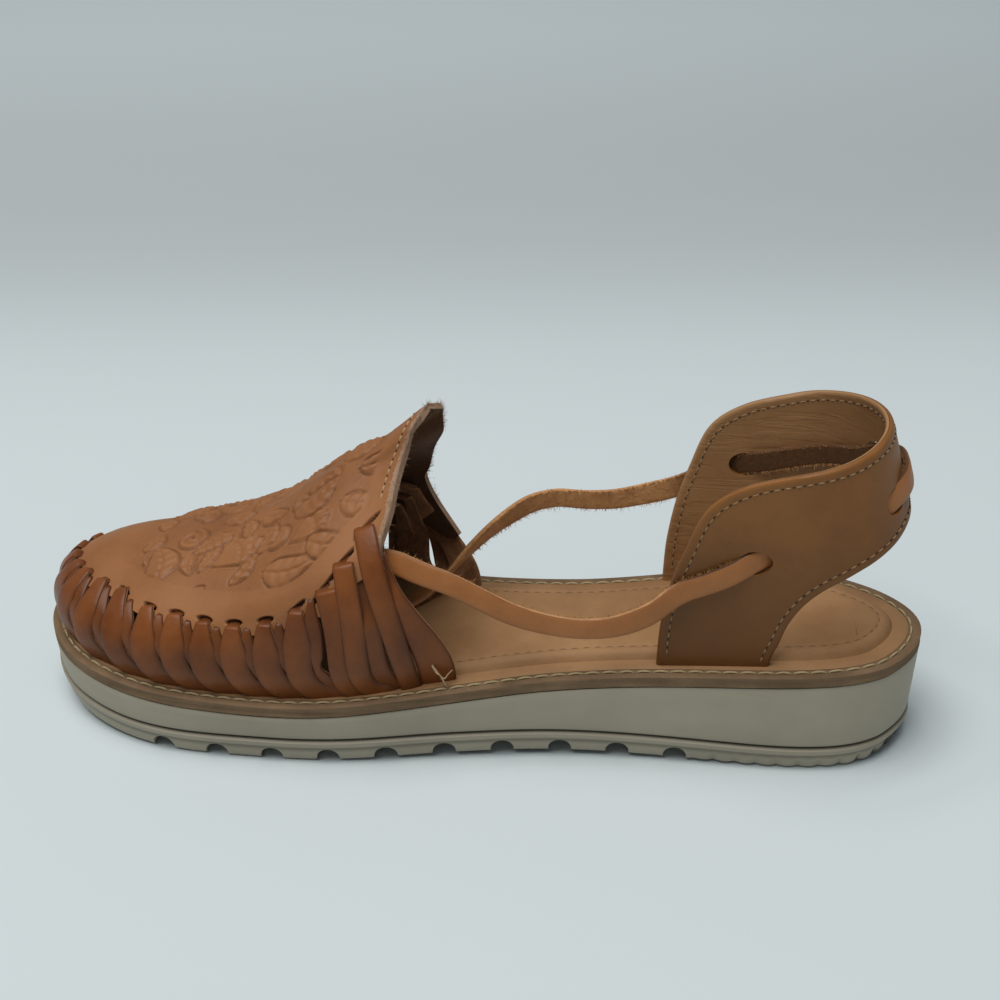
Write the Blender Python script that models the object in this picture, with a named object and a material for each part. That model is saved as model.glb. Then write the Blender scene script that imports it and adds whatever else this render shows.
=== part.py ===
"""Woven flatform sandal with a tooled vamp, an open heel sling and a laced ankle strap.

Left shoe, standing empty on its sole. Toe towards -X, heel towards +X, lateral side -Y,
medial side +Y, floor at Z = 0. Lengths are metres, and places along the shoe are shares of
its length, counted from the heel end.
"""
import math

import bmesh
import bpy
import numpy as np
from mathutils import Vector

MM = 0.001

# Overall
LENGTH = 252.0 * MM            # heel end to toe end of the sole
BALL_WIDTH = 82.4 * MM         # sole at its widest
GAP = 0.3 * MM                 # between pieces that rest on each other

# Sole stack
HEEL_STACK = 32.3 * MM         # floor to midsole top at the heel
BALL_STACK = 18.9 * MM         # floor to midsole top under the ball
TOE_SPRING = 4.6 * MM          # rise of the tread at the toe end
MIDSOLE_THICKNESS = 3.3 * MM
MIDSOLE_EDGE_ROUND = 0.5 * MM
INSOLE_THICKNESS = 2.2 * MM
INSOLE_EDGE_ROUND = 0.8 * MM
GROOVE_HEIGHT = 7.6 * MM       # groove line above the tread
GROOVE_WIDTH = 1.1 * MM
GROOVE_DEPTH = 1.2 * MM
RIB_HEIGHT = 2.0 * MM          # rib between the groove and the lower band
RIB_PROUD = 0.6 * MM
SIDE_TAPER = 1.2 * MM          # how far the side walls come in towards the floor
HEEL_SLANT = 0.8 * MM          # more of the same behind the heel
TREAD_ROUND = 1.7 * MM         # rounded edge of the tread
ARCH_LIFT = 1.3 * MM           # tread off the floor under the arch
NOTCH_COUNT = 10
NOTCH_PITCH = 0.0629 * LENGTH
NOTCH_FIRST = 0.8266 * LENGTH  # foremost notch, from the heel end
NOTCH_WIDTH = 6.9 * MM
NOTCH_DEPTH = 4.3 * MM

# Upper
WALL = 2.0 * MM                # leather of vamp and weave
LEDGE = 5.4 * MM               # midsole edge to the foot of the upper
TOE_HEIGHT = 25.0 * MM         # crown above the midsole where the toe dome ends
INSTEP_HEIGHT = 71.5 * MM      # crown above the midsole at the throat
STRIP_COUNT = 28               # straps of the weave, side to side round the toe
STRIP_RAISE = 1.3 * MM
STRIP_LEAN = 8.5 * MM          # each strap's foot lies this far heelward of its slot
THROAT_LEAN = 8.0 * MM         # more of the same at the last straps
TONGUE_LEAN = 6.5 * MM         # peak of the throat heelward of its corners
MARGIN_HEIGHT = 21.5 * MM      # slots of the vamp above the midsole at the ball
THROAT_REACH = 0.5675 * LENGTH  # corners of the throat, from the heel end
TOE_DOME = 0.881 * LENGTH      # where the round toe starts, from the heel end
GAPS_PER_SIDE = 5              # open gaps between the rear straps

# Heel sling
SLING_WALL = 2.2 * MM
SLING_REACH = 0.2857 * LENGTH  # front of its legs, from the heel end
SLING_HEIGHT = 62.7 * MM       # top of the cuff above the midsole
SLING_FOOT_WIDTH = 0.5558 * BALL_WIDTH  # outside, across both legs at the midsole
SLING_FLARE = 2.8 * MM         # each side leans out by this at the cuff
SLING_ROUND = 24.0 * MM        # depth of the round back
SLING_SLOT_LENGTH = 17.0 * MM
SLING_BACK_SLOT_LENGTH = 19.0 * MM
SLING_HOLE_SPARE = 4.0 * MM    # holes taller than the strap's width by this

# Ankle strap
STRAP_WIDTH = 6.2 * MM
STRAP_THICKNESS = 1.7 * MM
STRAP_CLEARANCE = 0.8 * MM

# Plan of the sole: shares of half the ball width on each side of the shoe's axis
PLAN = {
    "along":   [0.04, 0.12, 0.25, 0.38, 0.50, 0.62, 0.74, 0.86, 0.95],
    "lateral": [0.49, 0.66, 0.68, 0.71, 0.82, 0.965, 1.00, 0.925, 0.63],
    "medial":  [0.43, 0.67, 0.64, 0.56, 0.66, 0.88, 1.00, 0.85, 0.575],
}
# Side view of the sole: stack as a share between ball and heel, and lifts as shares
SIDE = {
    "along":    [0.00, 0.12, 0.25, 0.40, 0.55, 0.68, 0.80, 0.90, 0.97, 1.00],
    "stack":    [1.02, 0.93, 0.78, 0.53, 0.18, 0.00, 0.06, 0.18, 0.28, 0.33],
    "arch":     [0.00, 0.00, 0.45, 1.00, 0.60, 0.00, 0.00, 0.00, 0.00, 0.00],
    "spring":   [0.12, 0.00, 0.00, 0.00, 0.00, 0.00, 0.00, 0.20, 0.63, 1.00],
}
# A rib of the upper from its foot to the crown: share inwards, more of it at the throat, and
# share upwards
RIB = {
    "row":    [0.00, 0.12, 0.25, 0.38, 0.52, 0.66, 0.80, 0.91, 1.00],
    "inward": [0.00, -0.055, -0.07, -0.04, 0.06, 0.25, 0.52, 0.785, 1.00],
    "throat": [0.00, 0.00, 0.00, 0.00, 0.03, 0.14, 0.22, 0.05, 0.00],
    "upward": [0.00, 0.16, 0.33, 0.49, 0.655, 0.79, 0.905, 0.975, 1.00],
}
# Crown line from the toe dome to the throat: share between toe and instep height
CROWN = {
    "along":  [0.00, 0.15, 0.30, 0.45, 0.60, 0.75, 0.88, 1.00],
    "height": [0.00, 0.105, 0.18, 0.31, 0.505, 0.70, 0.83, 1.00],
}
# Slots of the vamp, toe tip to throat corner: shares of the margin height on each side
MARGIN = {
    "along":   [0.00, 0.25, 0.50, 0.70, 0.80, 0.90, 1.00],
    "lateral": [0.80, 0.93, 1.00, 1.08, 1.30, 1.95, 2.45],
    "medial":  [0.80, 0.63, 0.67, 0.79, 0.96, 1.36, 1.76],
}
# Sling from its back centre to a foot: reach and height of the cuff edge and the lower edge
SLING = {
    "cuff_reach":   [0.206, 0.236, 0.292, 0.368, 0.535, 0.722, 0.847, 0.917, 0.958, 0.990, 1.000],
    "cuff_height":  [1.000, 0.994, 0.981, 0.965, 0.933, 0.880, 0.778, 0.580, 0.430, 0.215, 0.000],
    "lower_reach":  [0.101, 0.125, 0.174, 0.243, 0.319, 0.410, 0.479, 0.528, 0.556, 0.574, 0.583],
    "lower_height": [0.600, 0.584, 0.548, 0.508, 0.463, 0.392, 0.310, 0.210, 0.108, 0.050, 0.000],
}
# Strap where it rides on the sling, lateral end to medial end: turn is 0 at the back centre
# and 1 where the round back ends, height is from the floor as a share of the cuff's top, and
# side is 1 outside the sling, -1 inside and 0 in a hole
STRAP_ON_SLING = {
    "turn":   [-2.63, -2.32, -2.05, -1.77, -1.49, -1.20, -0.88, -0.57, -0.36, -0.16,
               0.00, 0.16, 0.36, 0.57, 0.88, 1.20, 1.54, 1.82, 2.10, 2.38, 2.66],
    "height": [0.570, 0.603, 0.637, 0.670, 0.695, 0.722, 0.755, 0.785, 0.822, 0.850,
               0.856, 0.850, 0.825, 0.790, 0.772, 0.755, 0.737, 0.716, 0.690, 0.655, 0.622],
    "side":   [1, 1, 1, 0, -1, -1, -1, -1, 0, 1, 1, 1, 0, -1, -1, -1, -1, 0, 1, 1, 1],
}
# Free spans of the strap: along the shoe, to the side as a share of half the ball width, up as
# a share of the cuff's top, and the lean of its width
STRAP_LATERAL = {
    "along":  [0.587, 0.563, 0.538, 0.500, 0.468, 0.437, 0.397, 0.361, 0.329, 0.298],
    "side":   [-0.617, -0.631, -0.670, -0.718, -0.733, -0.738, -0.738, -0.728, -0.714, -0.689],
    "height": [0.617, 0.613, 0.598, 0.575, 0.537, 0.499, 0.472, 0.463, 0.474, 0.507],
    "lean":   [0.25, 0.22, 0.20, 0.15, 0.10, 0.05, 0.00, 0.00, 0.00, 0.00],
}
STRAP_MEDIAL = {
    "along":  [0.310, 0.345, 0.381, 0.413, 0.440, 0.468, 0.494, 0.518, 0.538, 0.556, 0.573, 0.591],
    "side":   [0.660, 0.650, 0.636, 0.626, 0.592, 0.549, 0.490, 0.427, 0.364, 0.311, 0.214, 0.117],
    "height": [0.573, 0.551, 0.546, 0.549, 0.535, 0.491, 0.438, 0.375, 0.318, 0.278, 0.262, 0.258],
    "lean":   [0.00, 0.00, 0.00, 0.05, 0.10, 0.20, 0.35, 0.50, 0.70, 0.95, 1.00, 1.00],
}

COLOURS = {
    "outsole": ((0.62, 0.58, 0.48), 0.55),
    "midsole": ((0.33, 0.25, 0.18), 0.75),
    "insole": ((0.50, 0.33, 0.20), 0.60),
    "upper": ((0.45, 0.22, 0.10), 0.45),
    "heel_sling": ((0.40, 0.21, 0.10), 0.55),
    "ankle_strap": ((0.47, 0.23, 0.11), 0.55),
}

PLAN_SIDES = 36                # points along each side of a sole outline
DENSE = 600                    # points for measuring along the upper's foot
COLUMNS_PER_STRIP = 4
WEAVE_ROWS = 6
VAMP_ROWS = 4
SLING_COLUMNS = 22
SLING_ROWS = 4
WELD = 0.001 * MM              # points closer than this are one
STRAP_STEP = 4.0 * MM


def clear_scene():
    for item in list(bpy.data.objects):
        bpy.data.objects.remove(item, do_unlink=True)


def smooth(places, values, at):
    """Catmull-Rom curve through a table's column, held flat past its ends."""
    places = np.asarray(places, float)
    values = np.asarray(values, float)
    at = np.clip(np.asarray(at, float), places[0], places[-1])
    slopes = np.gradient(values, places)
    k = np.clip(np.searchsorted(places, at, side="right") - 1, 0, len(places) - 2)
    span = places[k + 1] - places[k]
    t = (at - places[k]) / span
    start, end = values[k], values[k + 1]
    rise = start * (1 + 2 * t) * (1 - t) ** 2 + end * t * t * (3 - 2 * t)
    return rise + span * (slopes[k] * t * (1 - t) ** 2 - slopes[k + 1] * t * t * (1 - t))


def ease(t):
    t = np.clip(t, 0.0, 1.0)
    return t * t * (3 - 2 * t)


def side_view(column, reach):
    return smooth(SIDE["along"], SIDE[column], np.asarray(reach) / LENGTH)


def stack_top(reach):
    """Height of the midsole's top above the floor, at a distance from the heel end."""
    return BALL_STACK + (HEEL_STACK - BALL_STACK) * side_view("stack", reach)


def tread_height(reach):
    lift = ARCH_LIFT * side_view("arch", reach) + TOE_SPRING * side_view("spring", reach)
    return np.maximum(lift, 0.0)


def plan_curve(side, count):
    """One side of the sole's outline, heel end to toe end: reach and offset from the axis."""
    turn = np.linspace(0.0, math.pi, count)
    along = (1 - np.cos(turn)) / 2
    round_ends = np.sin(turn)
    shares = np.asarray(PLAN["along"])
    against_oval = np.asarray(PLAN[side]) / (2 * np.sqrt(shares * (1 - shares)))
    width = smooth(shares, against_oval, along) * round_ends * BALL_WIDTH / 2
    sign = -1.0 if side == "lateral" else 1.0
    return np.column_stack([along * LENGTH, sign * width])


def outline(inset, count=PLAN_SIDES):
    """Closed outline set in by a distance: heel end, lateral side, toe end, medial side."""
    lateral = plan_curve("lateral", count + 1)
    medial = plan_curve("medial", count + 1)[::-1]
    loop = np.vstack([lateral, medial[1:-1]])
    along = np.roll(loop, -1, axis=0) - np.roll(loop, 1, axis=0)
    along /= np.linalg.norm(along, axis=1)[:, None]
    inward = np.column_stack([-along[:, 1], along[:, 0]])
    return loop + inward * np.asarray(inset).reshape(-1, 1)


def place(reach, side, height):
    """A point of the shoe from its distance to the heel end, side offset and height."""
    return np.column_stack(np.broadcast_arrays(LENGTH / 2 - np.asarray(reach), side, height))


def add_object(name, vertices, faces):
    mesh = bpy.data.meshes.new(name)
    mesh.from_pydata([tuple(map(float, v)) for v in vertices], [], [tuple(map(int, f)) for f in faces])
    mesh.validate()
    mesh.update()
    mesh.shade_smooth()
    mesh.set_sharp_from_angle(angle=math.radians(40))
    item = bpy.data.objects.new(name, mesh)
    bpy.context.scene.collection.objects.link(item)
    if name in COLOURS:
        colour, roughness = COLOURS[name]
        material = bpy.data.materials.new(name)
        material.use_nodes = True
        shader = material.node_tree.nodes["Principled BSDF"]
        shader.inputs["Base Color"].default_value = (*colour, 1.0)
        shader.inputs["Roughness"].default_value = roughness
        mesh.materials.append(material)
    return item


def cut(item, cutter):
    """Takes a wireframe cutter out of an object."""
    cutter.hide_render = True
    cutter.display_type = "WIRE"
    modifier = item.modifiers.new("cut_" + cutter.name, "BOOLEAN")
    modifier.operation = "DIFFERENCE"
    modifier.solver = "EXACT"
    modifier.object = cutter


def ladder_faces(start, count, flip):
    """Rungs across a closed outline, from its heel point to its toe point."""
    half = count // 2
    faces = []
    for k in range(half):
        lateral = (k, k + 1)
        medial = ((count - k) % count, (count - k - 1) % count)
        face = [lateral[0], lateral[1], medial[1], medial[0]]
        face = [start + v for n, v in enumerate(face) if v not in face[:n]]
        faces.append(face[::-1] if flip else face)
    return faces


def plate(name, loops):
    """A solid from closed outlines, bottom to top, each a pair of inset and height function."""
    vertices = []
    faces = []
    for inset, height in loops:
        loop = outline(inset)
        vertices.append(place(loop[:, 0], loop[:, 1], height(loop[:, 0])))
    count = len(vertices[0])
    for level in range(len(loops) - 1):
        low, high = level * count, (level + 1) * count
        for k in range(count):
            n = (k + 1) % count
            faces.append((low + n, low + k, high + k, high + n))
    faces += ladder_faces(0, count, False)
    faces += ladder_faces((len(loops) - 1) * count, count, True)
    return add_object(name, np.vstack(vertices), faces)


def sole_wall(share_down):
    """Inset of the outsole's wall, a share of the way down, with the slanted heel."""
    reach = outline(0.0)[:, 0]
    heel = ease(1 - reach / SLING_ROUND)
    return share_down * (SIDE_TAPER + HEEL_SLANT * heel)


def make_outsole():
    def above_tread(height):
        return lambda reach: tread_height(reach) + height

    def top(reach):
        return stack_top(reach) - MIDSOLE_THICKNESS - GAP

    rib_top = GROOVE_HEIGHT - GROOVE_WIDTH / 2
    loops = [
        (sole_wall(1.0) + TREAD_ROUND, above_tread(0.0)),
        (sole_wall(1.0), above_tread(TREAD_ROUND)),
        (sole_wall(0.7) - RIB_PROUD / 2, above_tread(rib_top - RIB_HEIGHT)),
        (sole_wall(0.6) - RIB_PROUD, above_tread(rib_top - RIB_HEIGHT / 2)),
        (sole_wall(0.55) - RIB_PROUD / 2, above_tread(rib_top)),
        (sole_wall(0.5) + GROOVE_DEPTH, above_tread(GROOVE_HEIGHT)),
        (sole_wall(0.5), above_tread(GROOVE_HEIGHT + GROOVE_WIDTH / 2)),
        (sole_wall(0.1), top),
    ]
    sole = plate("outsole", loops)
    cut(sole, make_notches())
    return sole


def make_notches():
    """Round-topped channels across the tread, one prism for each."""
    steps = 4
    half = NOTCH_WIDTH / 2
    turns = np.linspace(0.0, math.pi, steps + 1)
    profile = [(half, -NOTCH_DEPTH)]
    profile += [(half * 0.92 * math.cos(t), NOTCH_DEPTH * (0.35 + 0.65 * math.sin(t))) for t in turns]
    profile += [(-half, -NOTCH_DEPTH)]
    vertices = []
    faces = []
    for number in range(NOTCH_COUNT):
        reach = NOTCH_FIRST - number * NOTCH_PITCH
        low = float(tread_height(reach))
        start = len(vertices)
        for side in (BALL_WIDTH, -BALL_WIDTH):
            vertices += [place(reach + along, side, low + up)[0] for along, up in profile]
        count = len(profile)
        faces.append(tuple(start + k for k in range(count)))
        faces.append(tuple(start + count + k for k in reversed(range(count))))
        for k in range(count):
            n = (k + 1) % count
            faces.append((start + n, start + k, start + count + k, start + count + n))
    return add_object("notch_cutter", vertices, faces)


def make_midsole():
    def at(down):
        return lambda reach: stack_top(reach) - down

    loops = [
        (MIDSOLE_EDGE_ROUND, at(MIDSOLE_THICKNESS)),
        (0.0, at(MIDSOLE_THICKNESS - MIDSOLE_EDGE_ROUND)),
        (0.0, at(MIDSOLE_EDGE_ROUND)),
        (MIDSOLE_EDGE_ROUND, at(0.0)),
    ]
    return plate("midsole", loops)


def make_insole():
    inset = LEDGE + SLING_WALL + 2 * GAP

    def at(up):
        return lambda reach: stack_top(reach) + GAP + up

    loops = [
        (inset, at(0.0)),
        (inset, at(INSOLE_THICKNESS - INSOLE_EDGE_ROUND)),
        (inset + INSOLE_EDGE_ROUND, at(INSOLE_THICKNESS)),
    ]
    return plate("insole", loops)


class FootOfUpper:
    """The line on the midsole where the upper stands, measured from the toe tip."""

    def __init__(self):
        loop = outline(LEDGE, DENSE)
        self.toe = DENSE
        self.sides = {}
        for side, points in (("lateral", loop[:self.toe + 1][::-1]), ("medial", loop[self.toe:])):
            steps = np.linalg.norm(np.diff(points, axis=0), axis=1)
            self.sides[side] = (np.concatenate([[0.0], np.cumsum(steps)]), points)

    def point(self, side, length):
        lengths, points = self.sides[side]
        return np.column_stack([np.interp(length, lengths, points[:, k]) for k in (0, 1)])

    def length_at(self, side, reach):
        lengths, points = self.sides[side]
        return float(np.interp(-reach, -points[:, 0], lengths))


FOOT = FootOfUpper()


def throat_weight(share):
    """0 over the toe, 1 at the rear straps."""
    return ease((share - 0.72) / 0.28)


def rib_points(side, share, row):
    """Points of the upper's outer face: share runs from the toe tip to the throat corner,
    and row from the foot, at 0, to the crown, at 1."""
    share, row = np.broadcast_arrays(np.asarray(share, float), np.asarray(row, float))
    arc = FOOT.length_at(side, THROAT_REACH)
    other = FOOT.length_at("medial" if side == "lateral" else "lateral", THROAT_REACH)
    margin = margin_row(side, share)
    below = np.clip(1 - row / margin, 0.0, 1.0)
    above = np.clip((row - margin) / (1 - margin), 0.0, 1.0)
    turned = ease(share / 0.3)
    lean = STRIP_LEAN * turned + THROAT_LEAN * throat_weight(share)
    foot = FOOT.point(side, share * arc + lean * ease(below))
    plain = FOOT.point(side, share * arc)[:, 0]
    twin = FOOT.point("medial" if side == "lateral" else "lateral", share * other)[:, 0]
    crown_reach = crown_station((plain + twin) / 2) - TONGUE_LEAN * throat_weight(share) * ease(above)
    crown_up = crown_height(crown_reach)
    inward = smooth(RIB["row"], RIB["inward"], row)
    inward = inward + throat_weight(share) * smooth(RIB["row"], RIB["throat"], row)
    upward = smooth(RIB["row"], RIB["upward"], row)
    reach = foot[:, 0] + (crown_reach - foot[:, 0]) * inward
    offset = foot[:, 1] * (1 - inward)
    base = stack_top(foot[:, 0]) + GAP
    return place(reach, offset, base + (crown_up - base) * upward)


def crown_station(reach):
    """Where a rib meets the crown: the ribs of the round toe all meet at its dome."""
    return np.minimum(reach, TOE_DOME)


def crown_height(reach):
    along = (TOE_DOME - reach) / (TOE_DOME - THROAT_REACH + TONGUE_LEAN)
    rise = TOE_HEIGHT + (INSTEP_HEIGHT - TOE_HEIGHT) * smooth(CROWN["along"], CROWN["height"], along)
    return stack_top(reach) + rise


def margin_row(side, share):
    """Row of a rib where the vamp's slots are."""
    height = MARGIN_HEIGHT * smooth(MARGIN["along"], MARGIN[side], share)
    arc = FOOT.length_at(side, THROAT_REACH)
    plain = FOOT.point(side, np.atleast_1d(share * arc))[:, 0]
    crown_reach = crown_station(plain)
    total = crown_height(crown_reach) - stack_top(plain)
    rows = np.linspace(0.0, 1.0, 101)
    return np.interp(height / total, smooth(RIB["row"], RIB["upward"], rows), rows).reshape(np.shape(share))


def make_upper():
    """Vamp and weave as one hollow wall, open underneath and at the throat."""
    half = STRIP_COUNT // 2 * COLUMNS_PER_STRIP
    shares = np.linspace(0.0, 1.0, half + 1)
    columns = [("lateral", share, k) for k, share in zip(range(-half, 0), shares[:0:-1])]
    columns += [("medial", share, k) for k, share in zip(range(half + 1), shares)]
    rows = WEAVE_ROWS + VAMP_ROWS
    grid = np.zeros((len(columns), rows + 1, 3))
    raised = np.zeros((len(columns), rows + 1))
    for n, (side, share, number) in enumerate(columns):
        margin = float(margin_row(side, share))
        below = np.linspace(0.0, margin, WEAVE_ROWS + 1)
        above = np.linspace(margin, 1.0, VAMP_ROWS + 1)[1:]
        row = np.concatenate([below, above])
        grid[n] = rib_points(side, np.full(len(row), share), row)
        raised[n] = STRIP_RAISE * strip_profile(number) * strip_ends(row / margin)
    normals = grid_normals(grid)
    outer = grid + normals * raised[:, :, None]
    inner = grid - normals * WALL
    inner[:, 0, 2] = grid[:, 0, 2]
    outer[:, 0, 2] = grid[:, 0, 2]
    return add_shell("upper", outer, inner, weave_gaps(len(columns)), welded_top=True)


def strip_profile(number):
    """Height of a strap's face across its width, 0 in the valley between two straps."""
    place_in_strip = number % COLUMNS_PER_STRIP / COLUMNS_PER_STRIP
    return math.sin(math.pi * place_in_strip) ** 0.5


def strip_ends(share_up):
    """A strap dives into its slot at the top and under the sole's edge at the foot."""
    return ease((1.0 - share_up) / 0.12) * (0.35 + 0.65 * ease(share_up / 0.3))


def grid_normals(grid):
    """Unit normals of a grid of points, pointing out of the shoe."""
    across = np.gradient(grid, axis=0)
    up = np.gradient(grid, axis=1)
    normals = np.cross(across, up)
    lengths = np.linalg.norm(normals, axis=2)
    top = grid.shape[1] - 1
    for n in range(grid.shape[0]):
        if lengths[n, top] < 1e-9:
            normals[n, top] = (0.0, 0.0, 1.0)
            lengths[n, top] = 1.0
    normals /= lengths[:, :, None]
    outward = normals[:, 1, :2] * grid[:, 1, :2]
    if outward.sum() < 0:
        normals = -normals
    crown = (normals[:, top] + normals[::-1, top]) / 2
    normals[:, top] = crown / np.linalg.norm(crown, axis=1)[:, None]
    return normals


def weave_gaps(columns):
    """Cells of the grid left open between the rear straps on both sides."""
    cells = set()
    row = WEAVE_ROWS // 3
    for number in range(1, GAPS_PER_SIDE + 1):
        valley = number * COLUMNS_PER_STRIP
        for column in (valley, columns - 1 - valley):
            cells.add((column - 1, row))
            cells.add((column, row))
    return cells


def add_shell(name, outer, inner, gaps=(), welded_top=False):
    """Joins two grids of points into one wall, open along the grid's edges and at the gaps."""
    columns, rows = outer.shape[0] - 1, outer.shape[1] - 1
    mesh = bmesh.new()
    layers = [[[mesh.verts.new(point) for point in column] for column in grid] for grid in (outer, inner)]
    face, back = layers

    def is_open(n, row):
        if welded_top and row == rows:
            return False
        return not (0 <= n < columns and 0 <= row < rows) or (n, row) in gaps

    for n in range(columns):
        for row in range(rows):
            if (n, row) in gaps:
                continue
            ring = [(n, row), (n + 1, row), (n + 1, row + 1), (n, row + 1)]
            mesh.faces.new([face[a][b] for a, b in ring])
            mesh.faces.new([back[a][b] for a, b in reversed(ring)])
            beyond = [(n, row - 1), (n + 1, row), (n, row + 1), (n - 1, row)]
            for k, cell in enumerate(beyond):
                if is_open(*cell):
                    a, b = ring[k], ring[(k + 1) % 4]
                    mesh.faces.new([face[b[0]][b[1]], face[a[0]][a[1]], back[a[0]][a[1]], back[b[0]][b[1]]])
    bmesh.ops.remove_doubles(mesh, verts=mesh.verts, dist=WELD)
    bmesh.ops.recalc_face_normals(mesh, faces=mesh.faces)
    points = [v.co.copy() for v in mesh.verts]
    mesh.verts.index_update()
    faces = [[v.index for v in f.verts] for f in mesh.faces]
    mesh.free()
    return add_object(name, points, faces)


def sling_curve(turn, height, offset):
    """A point off the sling's outer face: turn round its back, height over the floor."""
    turn, height, offset = np.broadcast_arrays(*(np.asarray(v, float) for v in (turn, height, offset)))
    heel_top = float(stack_top(SLING_REACH * SLING["cuff_reach"][0]))
    up = (height - heel_top) / SLING_HEIGHT
    low, high = SLING["lower_height"][0], SLING["cuff_height"][0]
    low_reach, high_reach = SLING["lower_reach"][0], SLING["cuff_reach"][0]
    back = SLING_REACH * (low_reach + (high_reach - low_reach) * (up - low) / (high - low))
    half = SLING_FOOT_WIDTH / 2 + SLING_FLARE * ease(up / high)
    angle = np.clip(np.abs(turn), 0.0, 1.0) * math.pi / 2
    forward = np.maximum(np.abs(turn) - 1.0, 0.0) * SLING_ROUND
    reach = back + SLING_ROUND * (1 - np.cos(angle)) + forward
    side = np.sign(turn) * half * np.sin(angle)
    out_reach = -np.cos(angle) * half
    out_side = np.sign(turn) * np.sin(angle) * SLING_ROUND
    length = np.hypot(out_reach, out_side)
    return place(reach + offset * out_reach / length, side + offset * out_side / length, height)


def sling_turn(reach, height):
    """The turn at which the sling's outer face is at a distance from the heel end."""
    turns = np.linspace(0.0, 1.0 + SLING_REACH / SLING_ROUND, 400)
    reaches = LENGTH / 2 - sling_curve(turns, height, 0.0)[:, 0]
    return float(np.interp(reach, reaches, turns))


def make_heel_sling():
    steps = np.linspace(0.0, len(SLING["cuff_reach"]) - 1.0, SLING_COLUMNS + 1)
    rows = range(len(SLING["cuff_reach"]))

    def edge(which, step):
        reach = SLING_REACH * smooth(rows, SLING[which + "_reach"], step)
        height = stack_top(reach) + GAP + SLING_HEIGHT * smooth(rows, SLING[which + "_height"], step)
        return np.array([reach, height])

    outer = np.zeros((2 * SLING_COLUMNS + 1, SLING_ROWS + 1, 3))
    inner = outer.copy()
    for n, step in enumerate(np.concatenate([-steps[:0:-1], steps])):
        lower = edge("lower", abs(step))
        cuff = edge("cuff", abs(step))
        for row in range(SLING_ROWS + 1):
            reach, height = lower + (cuff - lower) * row / SLING_ROWS
            turn = math.copysign(sling_turn(reach, height), step) if step else 0.0
            outer[n, row] = sling_curve(turn, height, 0.0)[0]
            inner[n, row] = sling_curve(turn, height, -SLING_WALL)[0]
    sling = add_shell("heel_sling", outer, inner)
    for number, (turn, height) in enumerate(sling_holes()):
        length = SLING_SLOT_LENGTH if abs(turn) > 1 else SLING_BACK_SLOT_LENGTH
        cut(sling, make_hole("hole_cutter_%d" % number, turn, height, length))
    return sling


def sling_holes():
    """Turn and height of each place where the strap goes through the sling."""
    cuff = sling_cuff_height()
    rows = zip(STRAP_ON_SLING["turn"], STRAP_ON_SLING["height"], STRAP_ON_SLING["side"])
    return [(turn, share * cuff) for turn, share, side in rows if side == 0]


def sling_cuff_height():
    reach = SLING_REACH * SLING["cuff_reach"][0]
    return float(stack_top(reach)) + GAP + SLING_HEIGHT


def make_hole(name, turn, height, length):
    """A block through the sling's wall, its long side round the sling."""
    centre = Vector(sling_curve(turn, height, -SLING_WALL / 2)[0])
    beyond = Vector(sling_curve(turn, height, SLING_WALL)[0])
    out = (beyond - centre).normalized()
    up = Vector((0.0, 0.0, 1.0))
    along = out.cross(up)
    tall = STRAP_WIDTH + SLING_HOLE_SPARE
    deep = 3 * (SLING_WALL + STRAP_THICKNESS)
    corners = []
    for c in (-1, 1):
        for a, b in ((-1, -1), (1, -1), (1, 1), (-1, 1)):
            corners.append(centre + along * a * length / 2 + out * b * deep / 2 + up * c * tall / 2)
    faces = [(0, 3, 2, 1), (4, 5, 6, 7), (0, 1, 5, 4), (1, 2, 6, 5), (2, 3, 7, 6), (3, 0, 4, 7)]
    return add_object(name, corners, faces)


def strap_route():
    """Centre line of the ankle strap, lateral end to medial end, each point with the
    direction of the strap's width."""
    cuff = sling_cuff_height()
    outside = STRAP_THICKNESS / 2 + STRAP_CLEARANCE
    offsets = {1: outside, 0: -SLING_WALL / 2, -1: -SLING_WALL - outside}
    rows = []
    for side, table in ((-1.0, STRAP_LATERAL), (1.0, STRAP_MEDIAL)):
        for along, offset, height, lean in zip(*table.values()):
            turn = lean * math.pi / 2
            width = (0.0, -side * math.sin(turn), math.cos(turn))
            spot = place(along * LENGTH, offset * BALL_WIDTH / 2, height * cuff)[0]
            rows.append((*spot, *width))
    on_sling = []
    for turn, share, side in zip(*(STRAP_ON_SLING[key] for key in ("turn", "height", "side"))):
        edges = (-STRAP_WIDTH, STRAP_WIDTH)
        low, high = (sling_curve(turn, share * cuff + up, offsets[side])[0] for up in edges)
        on_sling.append((*(low + high) / 2, *(high - low) / np.linalg.norm(high - low)))
    lateral = len(STRAP_LATERAL["along"])
    route = np.array(rows[:lateral] + on_sling + rows[lateral:])
    steps = np.concatenate([[0.0], np.cumsum(np.linalg.norm(np.diff(route[:, :3], axis=0), axis=1))])
    count = int(round(steps[-1] / STRAP_STEP))
    at = np.linspace(0.0, steps[-1], count + 1)
    return np.column_stack([smooth(steps, route[:, k], at) for k in range(6)])


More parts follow.
